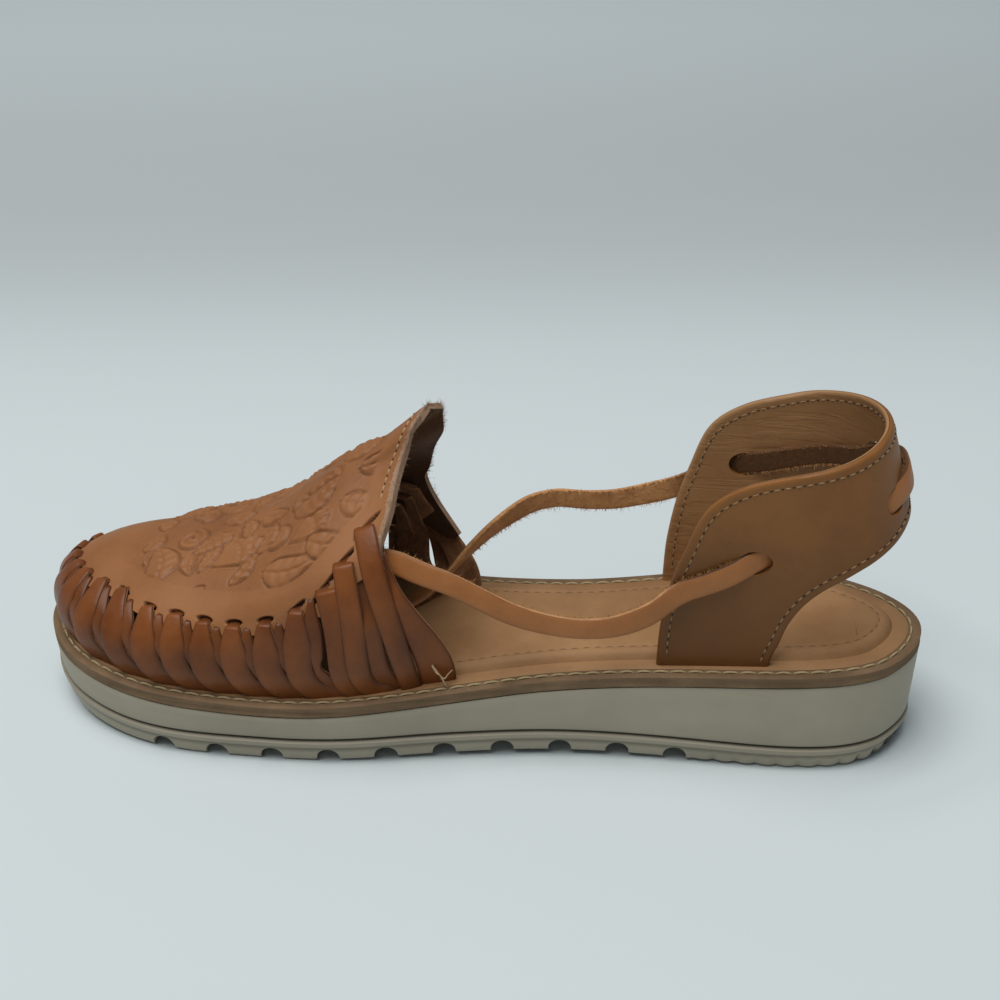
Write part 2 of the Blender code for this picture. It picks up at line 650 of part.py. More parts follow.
def make_ankle_strap():
    route = strap_route()
    points = route[:, :3]
    ahead = np.gradient(points, axis=0)
    ahead /= np.linalg.norm(ahead, axis=1)[:, None]
    thick = np.cross(ahead, route[:, 3:])
    thick /= np.linalg.norm(thick, axis=1)[:, None]
    wide = np.cross(thick, ahead)
    vertices = []
    for a, b in ((-1, -1), (-1, 1), (1, 1), (1, -1)):
        vertices.append(points + wide * a * STRAP_WIDTH / 2 + thick * b * STRAP_THICKNESS / 2)
    count = len(points)
    faces = [(0, count, 2 * count, 3 * count), tuple(k * count + count - 1 for k in (3, 2, 1, 0))]
    for k in range(4):
        a, b = k * count, (k + 1) % 4 * count
        faces += [(b + n, a + n, a + n + 1, b + n + 1) for n in range(count - 1)]
    return add_object("ankle_strap", np.vstack(vertices), faces)


def main():
    clear_scene()
    make_outsole()
    make_midsole()
    make_insole()
    make_upper()
    make_heel_sling()
    make_ankle_strap()


main()
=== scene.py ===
"""Looks of the woven sandal: camera, light, materials and the fine surface of every piece.

The sizes, tables and form functions repeat the solid model's, so each fine surface lies where
its solid is. Metres, toe towards -X, lateral side -Y, floor at Z = 0.
"""
import contextlib
import math

import bmesh
import bpy
import numpy as np
from mathutils import Matrix, Vector


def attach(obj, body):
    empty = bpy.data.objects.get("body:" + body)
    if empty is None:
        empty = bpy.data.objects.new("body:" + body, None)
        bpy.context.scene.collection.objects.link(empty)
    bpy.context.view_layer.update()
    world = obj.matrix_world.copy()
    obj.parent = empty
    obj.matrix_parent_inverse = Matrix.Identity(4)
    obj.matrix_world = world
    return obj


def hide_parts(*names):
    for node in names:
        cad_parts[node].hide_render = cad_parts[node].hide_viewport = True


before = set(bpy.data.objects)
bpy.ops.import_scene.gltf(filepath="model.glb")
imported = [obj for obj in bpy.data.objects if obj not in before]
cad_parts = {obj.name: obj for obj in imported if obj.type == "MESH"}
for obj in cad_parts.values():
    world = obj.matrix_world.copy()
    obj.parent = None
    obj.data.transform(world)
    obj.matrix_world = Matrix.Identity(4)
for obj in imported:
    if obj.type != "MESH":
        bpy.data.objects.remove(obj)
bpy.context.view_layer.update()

MM = 0.001

# Overall
LENGTH = 252.0 * MM            # heel end to toe end of the sole
BALL_WIDTH = 82.4 * MM         # sole at its widest
GAP = 0.3 * MM                 # between pieces that rest on each other

# Sole stack
HEEL_STACK = 32.3 * MM         # floor to midsole top at the heel
BALL_STACK = 18.9 * MM         # floor to midsole top under the ball
TOE_SPRING = 4.6 * MM          # rise of the tread at the toe end
MIDSOLE_THICKNESS = 3.3 * MM
MIDSOLE_EDGE_ROUND = 0.5 * MM
INSOLE_THICKNESS = 2.2 * MM
GROOVE_HEIGHT = 7.6 * MM       # groove line above the tread
GROOVE_WIDTH = 1.1 * MM
GROOVE_DEPTH = 1.2 * MM
RIB_HEIGHT = 2.0 * MM          # rib between the groove and the lower band
RIB_PROUD = 0.6 * MM
SIDE_TAPER = 1.2 * MM          # how far the side walls come in towards the floor
HEEL_SLANT = 0.8 * MM          # more of the same behind the heel
TREAD_ROUND = 1.7 * MM         # rounded edge of the tread
ARCH_LIFT = 1.3 * MM           # tread off the floor under the arch
NOTCH_COUNT = 10
NOTCH_PITCH = 0.0629 * LENGTH
NOTCH_FIRST = 0.8266 * LENGTH  # foremost notch, from the heel end
NOTCH_WIDTH = 6.9 * MM
NOTCH_DEPTH = 4.3 * MM

# Upper
LEDGE = 5.4 * MM               # midsole edge to the foot of the upper
TOE_HEIGHT = 25.0 * MM         # crown above the midsole where the toe dome ends
INSTEP_HEIGHT = 71.5 * MM      # crown above the midsole at the throat
STRIP_LEAN = 8.5 * MM          # each strap's foot lies this far heelward of its slot
THROAT_LEAN = 8.0 * MM         # more of the same at the last straps
TONGUE_LEAN = 6.5 * MM         # peak of the throat heelward of its corners
MARGIN_HEIGHT = 21.5 * MM      # slots of the vamp above the midsole at the ball
THROAT_REACH = 0.5675 * LENGTH  # corners of the throat, from the heel end
TOE_DOME = 0.881 * LENGTH      # where the round toe starts, from the heel end

# Heel sling
SLING_WALL = 2.2 * MM
SLING_REACH = 0.2857 * LENGTH  # front of its legs, from the heel end
SLING_HEIGHT = 62.7 * MM       # top of the cuff above the midsole
SLING_FOOT_WIDTH = 0.5558 * BALL_WIDTH  # outside, across both legs at the midsole
SLING_FLARE = 2.8 * MM         # each side leans out by this at the cuff
SLING_ROUND = 24.0 * MM        # depth of the round back

# Ankle strap
STRAP_WIDTH = 6.2 * MM
STRAP_THICKNESS = 1.7 * MM
STRAP_CLEARANCE = 0.8 * MM

# Plan of the sole: shares of half the ball width on each side of the shoe's axis
PLAN = {
    "along":   [0.04, 0.12, 0.25, 0.38, 0.50, 0.62, 0.74, 0.86, 0.95],
    "lateral": [0.49, 0.66, 0.68, 0.71, 0.82, 0.965, 1.00, 0.925, 0.63],
    "medial":  [0.43, 0.67, 0.64, 0.56, 0.66, 0.88, 1.00, 0.85, 0.575],
}
# Side view of the sole: stack as a share between ball and heel, and lifts as shares
SIDE = {
    "along":    [0.00, 0.12, 0.25, 0.40, 0.55, 0.68, 0.80, 0.90, 0.97, 1.00],
    "stack":    [1.02, 0.93, 0.78, 0.53, 0.18, 0.00, 0.06, 0.18, 0.28, 0.33],
    "arch":     [0.00, 0.00, 0.45, 1.00, 0.60, 0.00, 0.00, 0.00, 0.00, 0.00],
    "spring":   [0.12, 0.00, 0.00, 0.00, 0.00, 0.00, 0.00, 0.20, 0.63, 1.00],
}
# A rib of the upper from its foot to the crown: share inwards, more of it at the throat, and
# share upwards
RIB = {
    "row":    [0.00, 0.12, 0.25, 0.38, 0.52, 0.66, 0.80, 0.91, 1.00],
    "inward": [0.00, -0.055, -0.07, -0.04, 0.06, 0.25, 0.52, 0.785, 1.00],
    "throat": [0.00, 0.00, 0.00, 0.00, 0.03, 0.14, 0.22, 0.05, 0.00],
    "upward": [0.00, 0.16, 0.33, 0.49, 0.655, 0.79, 0.905, 0.975, 1.00],
}
# Crown line from the toe dome to the throat: share between toe and instep height
CROWN = {
    "along":  [0.00, 0.15, 0.30, 0.45, 0.60, 0.75, 0.88, 1.00],
    "height": [0.00, 0.105, 0.18, 0.31, 0.505, 0.70, 0.83, 1.00],
}
# Slots of the vamp, toe tip to throat corner: shares of the margin height on each side
MARGIN = {
    "along":   [0.00, 0.25, 0.50, 0.70, 0.80, 0.90, 1.00],
    "lateral": [0.80, 0.93, 1.00, 1.08, 1.30, 1.95, 2.45],
    "medial":  [0.80, 0.63, 0.67, 0.79, 0.96, 1.36, 1.76],
}
# Sling from its back centre to a foot: reach and height of the cuff edge and the lower edge
SLING = {
    "cuff_reach":   [0.206, 0.236, 0.292, 0.368, 0.535, 0.722, 0.847, 0.917, 0.958, 0.990, 1.000],
    "cuff_height":  [1.000, 0.994, 0.981, 0.965, 0.933, 0.880, 0.778, 0.580, 0.430, 0.215, 0.000],
    "lower_reach":  [0.101, 0.125, 0.174, 0.243, 0.319, 0.410, 0.479, 0.528, 0.556, 0.574, 0.583],
    "lower_height": [0.600, 0.584, 0.548, 0.508, 0.463, 0.392, 0.310, 0.210, 0.108, 0.050, 0.000],
}
# Strap where it rides on the sling, lateral end to medial end: turn is 0 at the back centre
# and 1 where the round back ends, height is from the floor as a share of the cuff's top, and
# side is 1 outside the sling, -1 inside and 0 in a hole
STRAP_ON_SLING = {
    "turn":   [-2.63, -2.32, -2.05, -1.77, -1.49, -1.20, -0.88, -0.57, -0.36, -0.16,
               0.00, 0.16, 0.36, 0.57, 0.88, 1.20, 1.54, 1.82, 2.10, 2.38, 2.66],
    "height": [0.570, 0.603, 0.637, 0.670, 0.695, 0.722, 0.755, 0.785, 0.822, 0.850,
               0.856, 0.850, 0.825, 0.790, 0.772, 0.755, 0.737, 0.716, 0.690, 0.655, 0.622],
    "side":   [1, 1, 1, 0, -1, -1, -1, -1, 0, 1, 1, 1, 0, -1, -1, -1, -1, 0, 1, 1, 1],
}
# Free spans of the strap: along the shoe, to the side as a share of half the ball width, up as
# a share of the cuff's top, and the lean of its width
STRAP_LATERAL = {
    "along":  [0.587, 0.563, 0.538, 0.500, 0.468, 0.437, 0.397, 0.361, 0.329, 0.298],
    "side":   [-0.617, -0.631, -0.670, -0.718, -0.733, -0.738, -0.738, -0.728, -0.714, -0.689],
    "height": [0.617, 0.613, 0.598, 0.575, 0.537, 0.499, 0.472, 0.463, 0.474, 0.507],
    "lean":   [0.25, 0.22, 0.20, 0.15, 0.10, 0.05, 0.00, 0.00, 0.00, 0.00],
}
STRAP_MEDIAL = {
    "along":  [0.310, 0.345, 0.381, 0.413, 0.440, 0.468, 0.494, 0.518, 0.538, 0.556, 0.573, 0.591],
    "side":   [0.660, 0.650, 0.636, 0.626, 0.592, 0.549, 0.490, 0.427, 0.364, 0.311, 0.214, 0.117],
    "height": [0.573, 0.551, 0.546, 0.549, 0.535, 0.491, 0.438, 0.375, 0.318, 0.278, 0.262, 0.258],
    "lean":   [0.00, 0.00, 0.00, 0.05, 0.10, 0.20, 0.35, 0.50, 0.70, 0.95, 1.00, 1.00],
}

SOLE_SIDES = 300               # points along each side of a sole outline
DENSE = 1500                   # points for measuring along the upper's foot
WELD = 0.001 * MM

# Camera, fitted to the photograph, in the shoe's own places
CAMERA_REACH = 67.7 * MM
CAMERA_SIDE = -334.4 * MM
CAMERA_HEIGHT = 249.2 * MM
CAMERA_AIM = (-0.1285, 0.8682, -0.4793)
CAMERA_ROLL = math.radians(-0.88)
CAMERA_LENS = 50.2             # mm
SENSOR_WIDTH = 36.0            # mm

# Light, sky and floor paper, in metres and watts
LIGHT_PLACE = (-0.45, -0.36, 2.30)
LIGHT_SIZE = 1.7
LIGHT_POWER = 51.0
LIGHT_COLOUR = (1.0, 0.985, 0.96)
SKY_COLOUR = (0.60, 0.66, 0.69)
SKY_STRENGTH = 0.29
PAPER_HALF = 6.0               # half the paper's width

# Surface detail
SCALLOP_PITCH = 5.8 * MM       # ribs round the heel's tread edge
SCALLOP_DEPTH = 1.0 * MM
SCALLOP_END = 62.0 * MM        # they run round the heel up to here
WELT_STITCH_INSET = 2.8 * MM
WELT_STITCH_PITCH = 4.6 * MM
INSOLE_SEAM_INSET = 3.4 * MM
THREAD = 0.30 * MM             # radius of the sole thread
FINE_THREAD = 0.21 * MM
STRIP_WIDTH = 7.6 * MM
SWEEP_START = 0.40             # share of a strap's length where it turns along the welt
STRIP_THICKNESS = 1.2 * MM
WEAVE_RUN = 102.0 * MM         # length of the row of slots on one side
VAMP_TUCK = 3.2 * MM           # vamp below its slots, behind the straps
REAR_TUCK = 8.0 * MM           # more of it behind the rear straps
LATERAL_CORNER = 4.0 * MM      # and at the throat's corners
MEDIAL_CORNER = 12.0 * MM
VAMP_WALL = 1.8 * MM
THROAT_FLARE = 6.2 * MM        # far half of the throat leans heelward by this
CORNER_TRIM = 5.0 * MM         # near corner of the throat is cut back by this
RELIEF = 0.55 * MM             # depth of the tooling
BORDER = 8.5 * MM              # plain border of the vamp above the slots
SLING_HOLE_LENGTH = 8.8 * MM
SLING_HOLE_HEIGHT = 7.1 * MM
FIBRE = 0.075 * MM             # radius of a loose leather fibre
THROAT_FIBRES = 1500
THROAT_FIBRE_LENGTH = 1.9 * MM
LACE_FIBRES = 2600
LACE_FIBRE_LENGTH = 1.4 * MM
SLOT_TUCK = 0.045              # start of a strap inside its slot, as a share of its length
THROAT_SEAM = 0.970            # the throat's seam, as a share of the way from the toe tip
THROAT_STITCH_PITCH = 2.4 * MM
INSOLE_STITCH_PITCH = 3.2 * MM
SLING_STITCH_PITCH = 2.7 * MM
SLING_SEAM_INSET = 2.6 * MM
SLING_EDGE_ROUND = 1.0 * MM
SEAM_GROOVE = 0.18 * MM        # the sling's leather pulled in along its seams
LACE_STEP = 1.3 * MM           # between points along the ankle lace
VAMP_GRID = (235, 150)         # columns a side and rows of the tooled face
BACK_GRID = (60, 34)           # and of its flesh side

# Slots of the weave on each side, from the toe tip to the throat: share of the way, and how
# far below the row a slot sits (mm)
SLOTS = {
    "share": [0.032, 0.100, 0.168, 0.262, 0.352, 0.440, 0.512,
              0.583, 0.655, 0.730, 0.803, 0.865, 0.902, 0.940],
    "drop":  [0.0, 0.0, 0.0, 0.0, 0.0, 0.0, 0.0, 0.0, 0.0, 0.0, 0.0, 3.6, 3.0, 0.0],
}
# Painted light and shade on the floor paper: its tone by distance from the camera's foot, darker in a band
# behind the shoe and lighter far off, to make up for the light falling away
PAPER = {
    "away": [-6.0, 0.50, 0.56, 0.60, 0.65, 0.70, 0.76, 0.85, 0.95, 1.05, 1.20, 1.40, 1.70, 7.0],
    "tone": [0.76, 0.76, 0.735, 0.71, 0.66, 0.61, 0.575, 0.565, 0.58, 0.61, 0.67, 0.75, 0.84, 0.84],
}
# Colours of each material: light tone, dark tone, and the tone that an attribute brings in
COLOURS = {
    "floor_paper":    [(0.835, 0.925, 0.955), (0.0, 0.0, 0.0)],
    # sole_cream's third tone is painted shade for the groove, the notches and the underside
    "sole_cream":     [(0.405, 0.36, 0.27), (0.335, 0.294, 0.218), (0.045, 0.04, 0.03)],
    "sole_scuffs":    [(0.27, 0.235, 0.17)],
    "welt_board":     [(0.25, 0.16, 0.092), (0.12, 0.076, 0.040)],
    "welt_thread":    [(0.50, 0.39, 0.21)],
    "insole_leather": [(0.385, 0.215, 0.100), (0.27, 0.14, 0.060)],
    "insole_thread":  [(0.235, 0.127, 0.058)],
    # vamp_leather's third tone: painted shade in the slots, and the tooling's darker hollows
    "vamp_leather":   [(0.35, 0.148, 0.056), (0.262, 0.104, 0.037), (0.05, 0.02, 0.009)],
    "vamp_flesh":     [(0.15, 0.07, 0.03), (0.06, 0.026, 0.011)],
    "vamp_raw_edge":  [(0.66, 0.44, 0.30), (0.42, 0.24, 0.14)],
    "throat_thread":  [(0.55, 0.40, 0.22)],
    # throat_holes: near-black thread that paints the shade in the throat seam's pinholes
    "throat_holes":   [(0.03, 0.014, 0.008)],
    # strap_leather's third tone: darker cut edges, and painted shade where straps are tucked into slots or
    # covered
    "strap_leather":  [(0.245, 0.075, 0.018), (0.157, 0.045, 0.0105), (0.020, 0.007, 0.003)],
    "strap_flesh":    [(0.62, 0.32, 0.16), (0.25, 0.115, 0.052)],
    "pale_thread":    [(0.50, 0.36, 0.21)],
    "sling_leather":  [(0.275, 0.113, 0.0295), (0.198, 0.078, 0.020), (0.115, 0.045, 0.011)],
    "sling_lining":   [(0.38, 0.198, 0.077), (0.285, 0.142, 0.053)],
    "sling_edge":     [(0.17, 0.076, 0.026), (0.10, 0.042, 0.014)],
    "sling_thread":   [(0.36, 0.22, 0.105)],
    # sling_holes: near-black thread that paints the shade in the sling seams' pinholes
    "sling_holes":    [(0.022, 0.012, 0.007)],
    # lace_leather's third tone: darker cut edges, and painted shade at the lace's medial end
    "lace_leather":   [(0.45, 0.178, 0.056), (0.345, 0.128, 0.037), (0.12, 0.052, 0.022)],
    # lace_flesh's third tone: painted shade on the flesh side inside the heel cuff
    "lace_flesh":     [(0.85, 0.45, 0.19), (0.52, 0.24, 0.09), (0.105, 0.045, 0.015)],
    "lace_fuzz":      [(0.60, 0.31, 0.12), (0.34, 0.15, 0.055)],
}
# Frayed thread at the last strap: reach, side offset and height of its ends' points (mm)
LOOSE_THREAD = [
    [(133.0, -29.6, 30.5), (131.0, -30.8, 28.0), (128.8, -31.2, 25.6), (127.6, -30.2, 26.6),
     (126.6, -29.4, 27.4)],
    [(129.4, -31.3, 26.0), (128.2, -31.6, 23.8), (127.4, -31.0, 21.6)],
    [(132.0, -30.4, 29.0), (130.6, -31.8, 27.8), (129.8, -32.4, 27.6)],
]


def smooth(places, values, at):
    """Catmull-Rom curve through a table's column, held flat past its ends."""
    places = np.asarray(places, float)
    values = np.asarray(values, float)
    at = np.clip(np.asarray(at, float), places[0], places[-1])
    slopes = np.gradient(values, places)
    k = np.clip(np.searchsorted(places, at, side="right") - 1, 0, len(places) - 2)
    span = places[k + 1] - places[k]
    t = (at - places[k]) / span
    start, end = values[k], values[k + 1]
    rise = start * (1 + 2 * t) * (1 - t) ** 2 + end * t * t * (3 - 2 * t)
    return rise + span * (slopes[k] * t * (1 - t) ** 2 - slopes[k + 1] * t * t * (1 - t))


def ease(t):
    """A soft step from 0 to 1."""
    t = np.clip(t, 0.0, 1.0)
    return t * t * (3 - 2 * t)


def side_view(column, reach):
    """A column of the side view at a distance from the heel end."""
    return smooth(SIDE["along"], SIDE[column], np.asarray(reach) / LENGTH)


def stack_top(reach):
    """Height of the midsole's top above the floor, at a distance from the heel end."""
    return BALL_STACK + (HEEL_STACK - BALL_STACK) * side_view("stack", reach)


def tread_height(reach):
    """Height of the tread above the floor: its arch and toe spring."""
    lift = ARCH_LIFT * side_view("arch", reach) + TOE_SPRING * side_view("spring", reach)
    return np.maximum(lift, 0.0)


def plan_curve(side, count):
    """One side of the sole's outline, heel end to toe end: reach and offset from the axis."""
    turn = np.linspace(0.0, math.pi, count)
    along = (1 - np.cos(turn)) / 2
    round_ends = np.sin(turn)
    shares = np.asarray(PLAN["along"])
    against_oval = np.asarray(PLAN[side]) / (2 * np.sqrt(shares * (1 - shares)))
    width = smooth(shares, against_oval, along) * round_ends * BALL_WIDTH / 2
    sign = -1.0 if side == "lateral" else 1.0
    return np.column_stack([along * LENGTH, sign * width])


def outline(inset, count=SOLE_SIDES):
    """Closed outline set in by a distance: heel end, lateral side, toe end, medial side."""
    lateral = plan_curve("lateral", count + 1)
    medial = plan_curve("medial", count + 1)[::-1]
    loop = np.vstack([lateral, medial[1:-1]])
    along = np.roll(loop, -1, axis=0) - np.roll(loop, 1, axis=0)
    along /= np.linalg.norm(along, axis=1)[:, None]
    inward = np.column_stack([-along[:, 1], along[:, 0]])
    return loop + inward * np.asarray(inset).reshape(-1, 1)


def place(reach, side, height):
    """A point of the shoe from its distance to the heel end, side offset and height."""
    return np.column_stack(np.broadcast_arrays(LENGTH / 2 - np.asarray(reach), side, height))


def run_along(points):
    """Distance of each point from the first one, along the line."""
    return np.concatenate([[0.0], np.cumsum(np.linalg.norm(np.diff(points, axis=0), axis=1))])


class FootOfUpper:
    """The line on the midsole where the upper stands, measured from the toe tip."""

    def __init__(self):
        loop = outline(LEDGE, DENSE)
        self.sides = {}
        for side, points in (("lateral", loop[:DENSE + 1][::-1]), ("medial", loop[DENSE:])):
            self.sides[side] = (run_along(points), points)

    def point(self, side, length):
        lengths, points = self.sides[side]
        return np.column_stack([np.interp(length, lengths, points[:, k]) for k in (0, 1)])

    def length_at(self, side, reach):
        lengths, points = self.sides[side]
        return float(np.interp(-reach, -points[:, 0], lengths))


FOOT = FootOfUpper()


def throat_weight(share):
    """0 over the toe, 1 at the rear straps."""
    return ease((share - 0.72) / 0.28)


def rib_points(side, share, row):
    """Points of the upper's outer face: share runs from the toe tip to the throat corner,
    and row from the foot, at 0, to the crown, at 1."""
    share, row = np.broadcast_arrays(np.asarray(share, float), np.asarray(row, float))
    arc = FOOT.length_at(side, THROAT_REACH)
    other = FOOT.length_at("medial" if side == "lateral" else "lateral", THROAT_REACH)
    margin = margin_row(side, share)
    below = np.clip(1 - row / margin, 0.0, 1.0)
    above = np.clip((row - margin) / (1 - margin), 0.0, 1.0)
    turned = ease(share / 0.3)
    lean = STRIP_LEAN * turned + THROAT_LEAN * throat_weight(share)
    foot = FOOT.point(side, share * arc + lean * ease(below))
    plain = FOOT.point(side, share * arc)[:, 0]
    twin = FOOT.point("medial" if side == "lateral" else "lateral", share * other)[:, 0]
    crown_reach = crown_station((plain + twin) / 2)
    crown_reach = crown_reach - TONGUE_LEAN * throat_weight(share) * ease(above)
    crown_up = crown_height(crown_reach)
    inward = smooth(RIB["row"], RIB["inward"], row)
    inward = inward + throat_weight(share) * smooth(RIB["row"], RIB["throat"], row)
    upward = smooth(RIB["row"], RIB["upward"], row)
    reach = foot[:, 0] + (crown_reach - foot[:, 0]) * inward
    offset = foot[:, 1] * (1 - inward)
    base = stack_top(foot[:, 0]) + GAP
    return place(reach, offset, base + (crown_up - base) * upward)


def crown_station(reach):
    """Where a rib meets the crown: the ribs of the round toe all meet at its dome."""
    return np.minimum(reach, TOE_DOME)


def crown_height(reach):
    """Height of the crown line above the floor."""
    along = (TOE_DOME - reach) / (TOE_DOME - THROAT_REACH + TONGUE_LEAN)
    rise = TOE_HEIGHT + (INSTEP_HEIGHT - TOE_HEIGHT) * smooth(CROWN["along"], CROWN["height"], along)
    return stack_top(reach) + rise


def margin_row(side, share):
    """Row of a rib where the vamp's slots are."""
    height = MARGIN_HEIGHT * smooth(MARGIN["along"], MARGIN[side], share)
    arc = FOOT.length_at(side, THROAT_REACH)
    plain = FOOT.point(side, np.atleast_1d(share * arc))[:, 0]
    crown_reach = crown_station(plain)
    total = crown_height(crown_reach) - stack_top(plain)
    rows = np.linspace(0.0, 1.0, 101)
    heights = smooth(RIB["row"], RIB["upward"], rows)
    return np.interp(height / total, heights, rows).reshape(np.shape(share))


def sling_curve(turn, height, offset):
    """A point off the sling's outer face: turn round its back, height over the floor."""
    turn, height, offset = np.broadcast_arrays(*(np.asarray(v, float) for v in (turn, height, offset)))
    heel_top = float(stack_top(SLING_REACH * SLING["cuff_reach"][0]))
    up = (height - heel_top) / SLING_HEIGHT
    low, high = SLING["lower_height"][0], SLING["cuff_height"][0]
    low_reach, high_reach = SLING["lower_reach"][0], SLING["cuff_reach"][0]
    back = SLING_REACH * (low_reach + (high_reach - low_reach) * (up - low) / (high - low))
    half = SLING_FOOT_WIDTH / 2 + SLING_FLARE * ease(up / high)
    angle = np.clip(np.abs(turn), 0.0, 1.0) * math.pi / 2
    forward = np.maximum(np.abs(turn) - 1.0, 0.0) * SLING_ROUND
    reach = back + SLING_ROUND * (1 - np.cos(angle)) + forward
    side = np.sign(turn) * half * np.sin(angle)
    out_reach = -np.cos(angle) * half
    out_side = np.sign(turn) * np.sin(angle) * SLING_ROUND
    length = np.hypot(out_reach, out_side)
    return place(reach + offset * out_reach / length, side + offset * out_side / length, height)


def sling_turn(reach, height):
    """The turn at which the sling's outer face is at a distance from the heel end."""
    turns = np.linspace(0.0, 1.0 + SLING_REACH / SLING_ROUND, 400)
    reaches = LENGTH / 2 - sling_curve(turns, height, 0.0)[:, 0]
    return float(np.interp(reach, reaches, turns))


def sling_holes():
    """Turn and height of each place where the strap goes through the sling."""
    cuff = sling_cuff_height()
    rows = zip(STRAP_ON_SLING["turn"], STRAP_ON_SLING["height"], STRAP_ON_SLING["side"])
    return [(turn, share * cuff) for turn, share, side in rows if side == 0]


def sling_cuff_height():
    """Height of the sling's top above the floor."""
    reach = SLING_REACH * SLING["cuff_reach"][0]
    return float(stack_top(reach)) + GAP + SLING_HEIGHT


def grid_faces(columns, rows, start=0, flip=False):
    """Faces of a sheet whose points are listed column by column."""
    faces = []
    for n in range(columns - 1):
        for row in range(rows - 1):
            a = start + n * rows + row
            face = (a, a + rows, a + rows + 1, a + 1)
            faces.append(face[::-1] if flip else face)
    return faces


def tube_faces(start, rings, sides, capped=False):
    """Faces of a tube whose points are listed ring by ring, its two ends closed if asked."""
    faces = []
    for base in range(start, start + (rings - 1) * sides, sides):
        for k in range(sides):
            n = (k + 1) % sides
            faces.append((base + k, base + n, base + sides + n, base + sides + k))
    if capped:
        last = start + (rings - 1) * sides
        faces.append(tuple(start + k for k in reversed(range(sides))))
        faces.append(tuple(last + k for k in range(sides)))
    return faces


def add_object(name, data):
    item = bpy.data.objects.new(name, data)
    bpy.context.scene.collection.objects.link(item)
    return item


def new_object(name, vertices, faces, materials=(), slots=None, sharp=50):
    """A smooth-shaded mesh object; slots give each face its material."""
    mesh = bpy.data.meshes.new(name)
    mesh.from_pydata(np.asarray(vertices).tolist(), [], faces)
    for item in materials:
        mesh.materials.append(item)
    if slots is not None:
        mesh.polygons.foreach_set("material_index", np.asarray(slots, np.int32))
    mesh.update()
    mesh.shade_smooth()
    mesh.set_sharp_from_angle(angle=math.radians(sharp))
    return add_object(name, mesh)


@contextlib.contextmanager
def editing(item):
    """Opens an object's mesh for changes and writes them back."""
    shape = bmesh.new()
    shape.from_mesh(item.data)
    yield shape
    shape.to_mesh(item.data)
    shape.free()
    item.data.update()


def weld(item):
    """Joins points that coincide and turns all faces outwards."""
    with editing(item) as shape:
        bmesh.ops.remove_doubles(shape, verts=shape.verts, dist=WELD)
        bmesh.ops.recalc_face_normals(shape, faces=shape.faces)


def apply_modifier(item, kind, sharp, **settings):
    """Adds a modifier with its settings and keeps the shape that it makes."""
    modifier = item.modifiers.new(kind.lower(), kind)
    for name, value in settings.items():
        setattr(modifier, name, value)
    shaped = bpy.data.meshes.new_from_object(item.evaluated_get(bpy.context.evaluated_depsgraph_get()))
    item.modifiers.remove(modifier)
    item.data = shaped
    shaped.set_sharp_from_angle(angle=math.radians(sharp))


def mesh_array(elements, name, width):
    """A property of all elements of a mesh, one row each."""
    values = np.zeros(len(elements) * width, np.float32)
    elements.foreach_get(name, values)
    return values.reshape(-1, width).astype(float)


def read_attribute(item, name):
    return mesh_array(item.data.attributes[name].data, "value", 1)[:, 0]


def dress(item, slot, *nodes):
    """Puts a finished piece on the shoe's one body."""
    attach(item, "root")
    if nodes:
        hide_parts(*nodes)
    return item


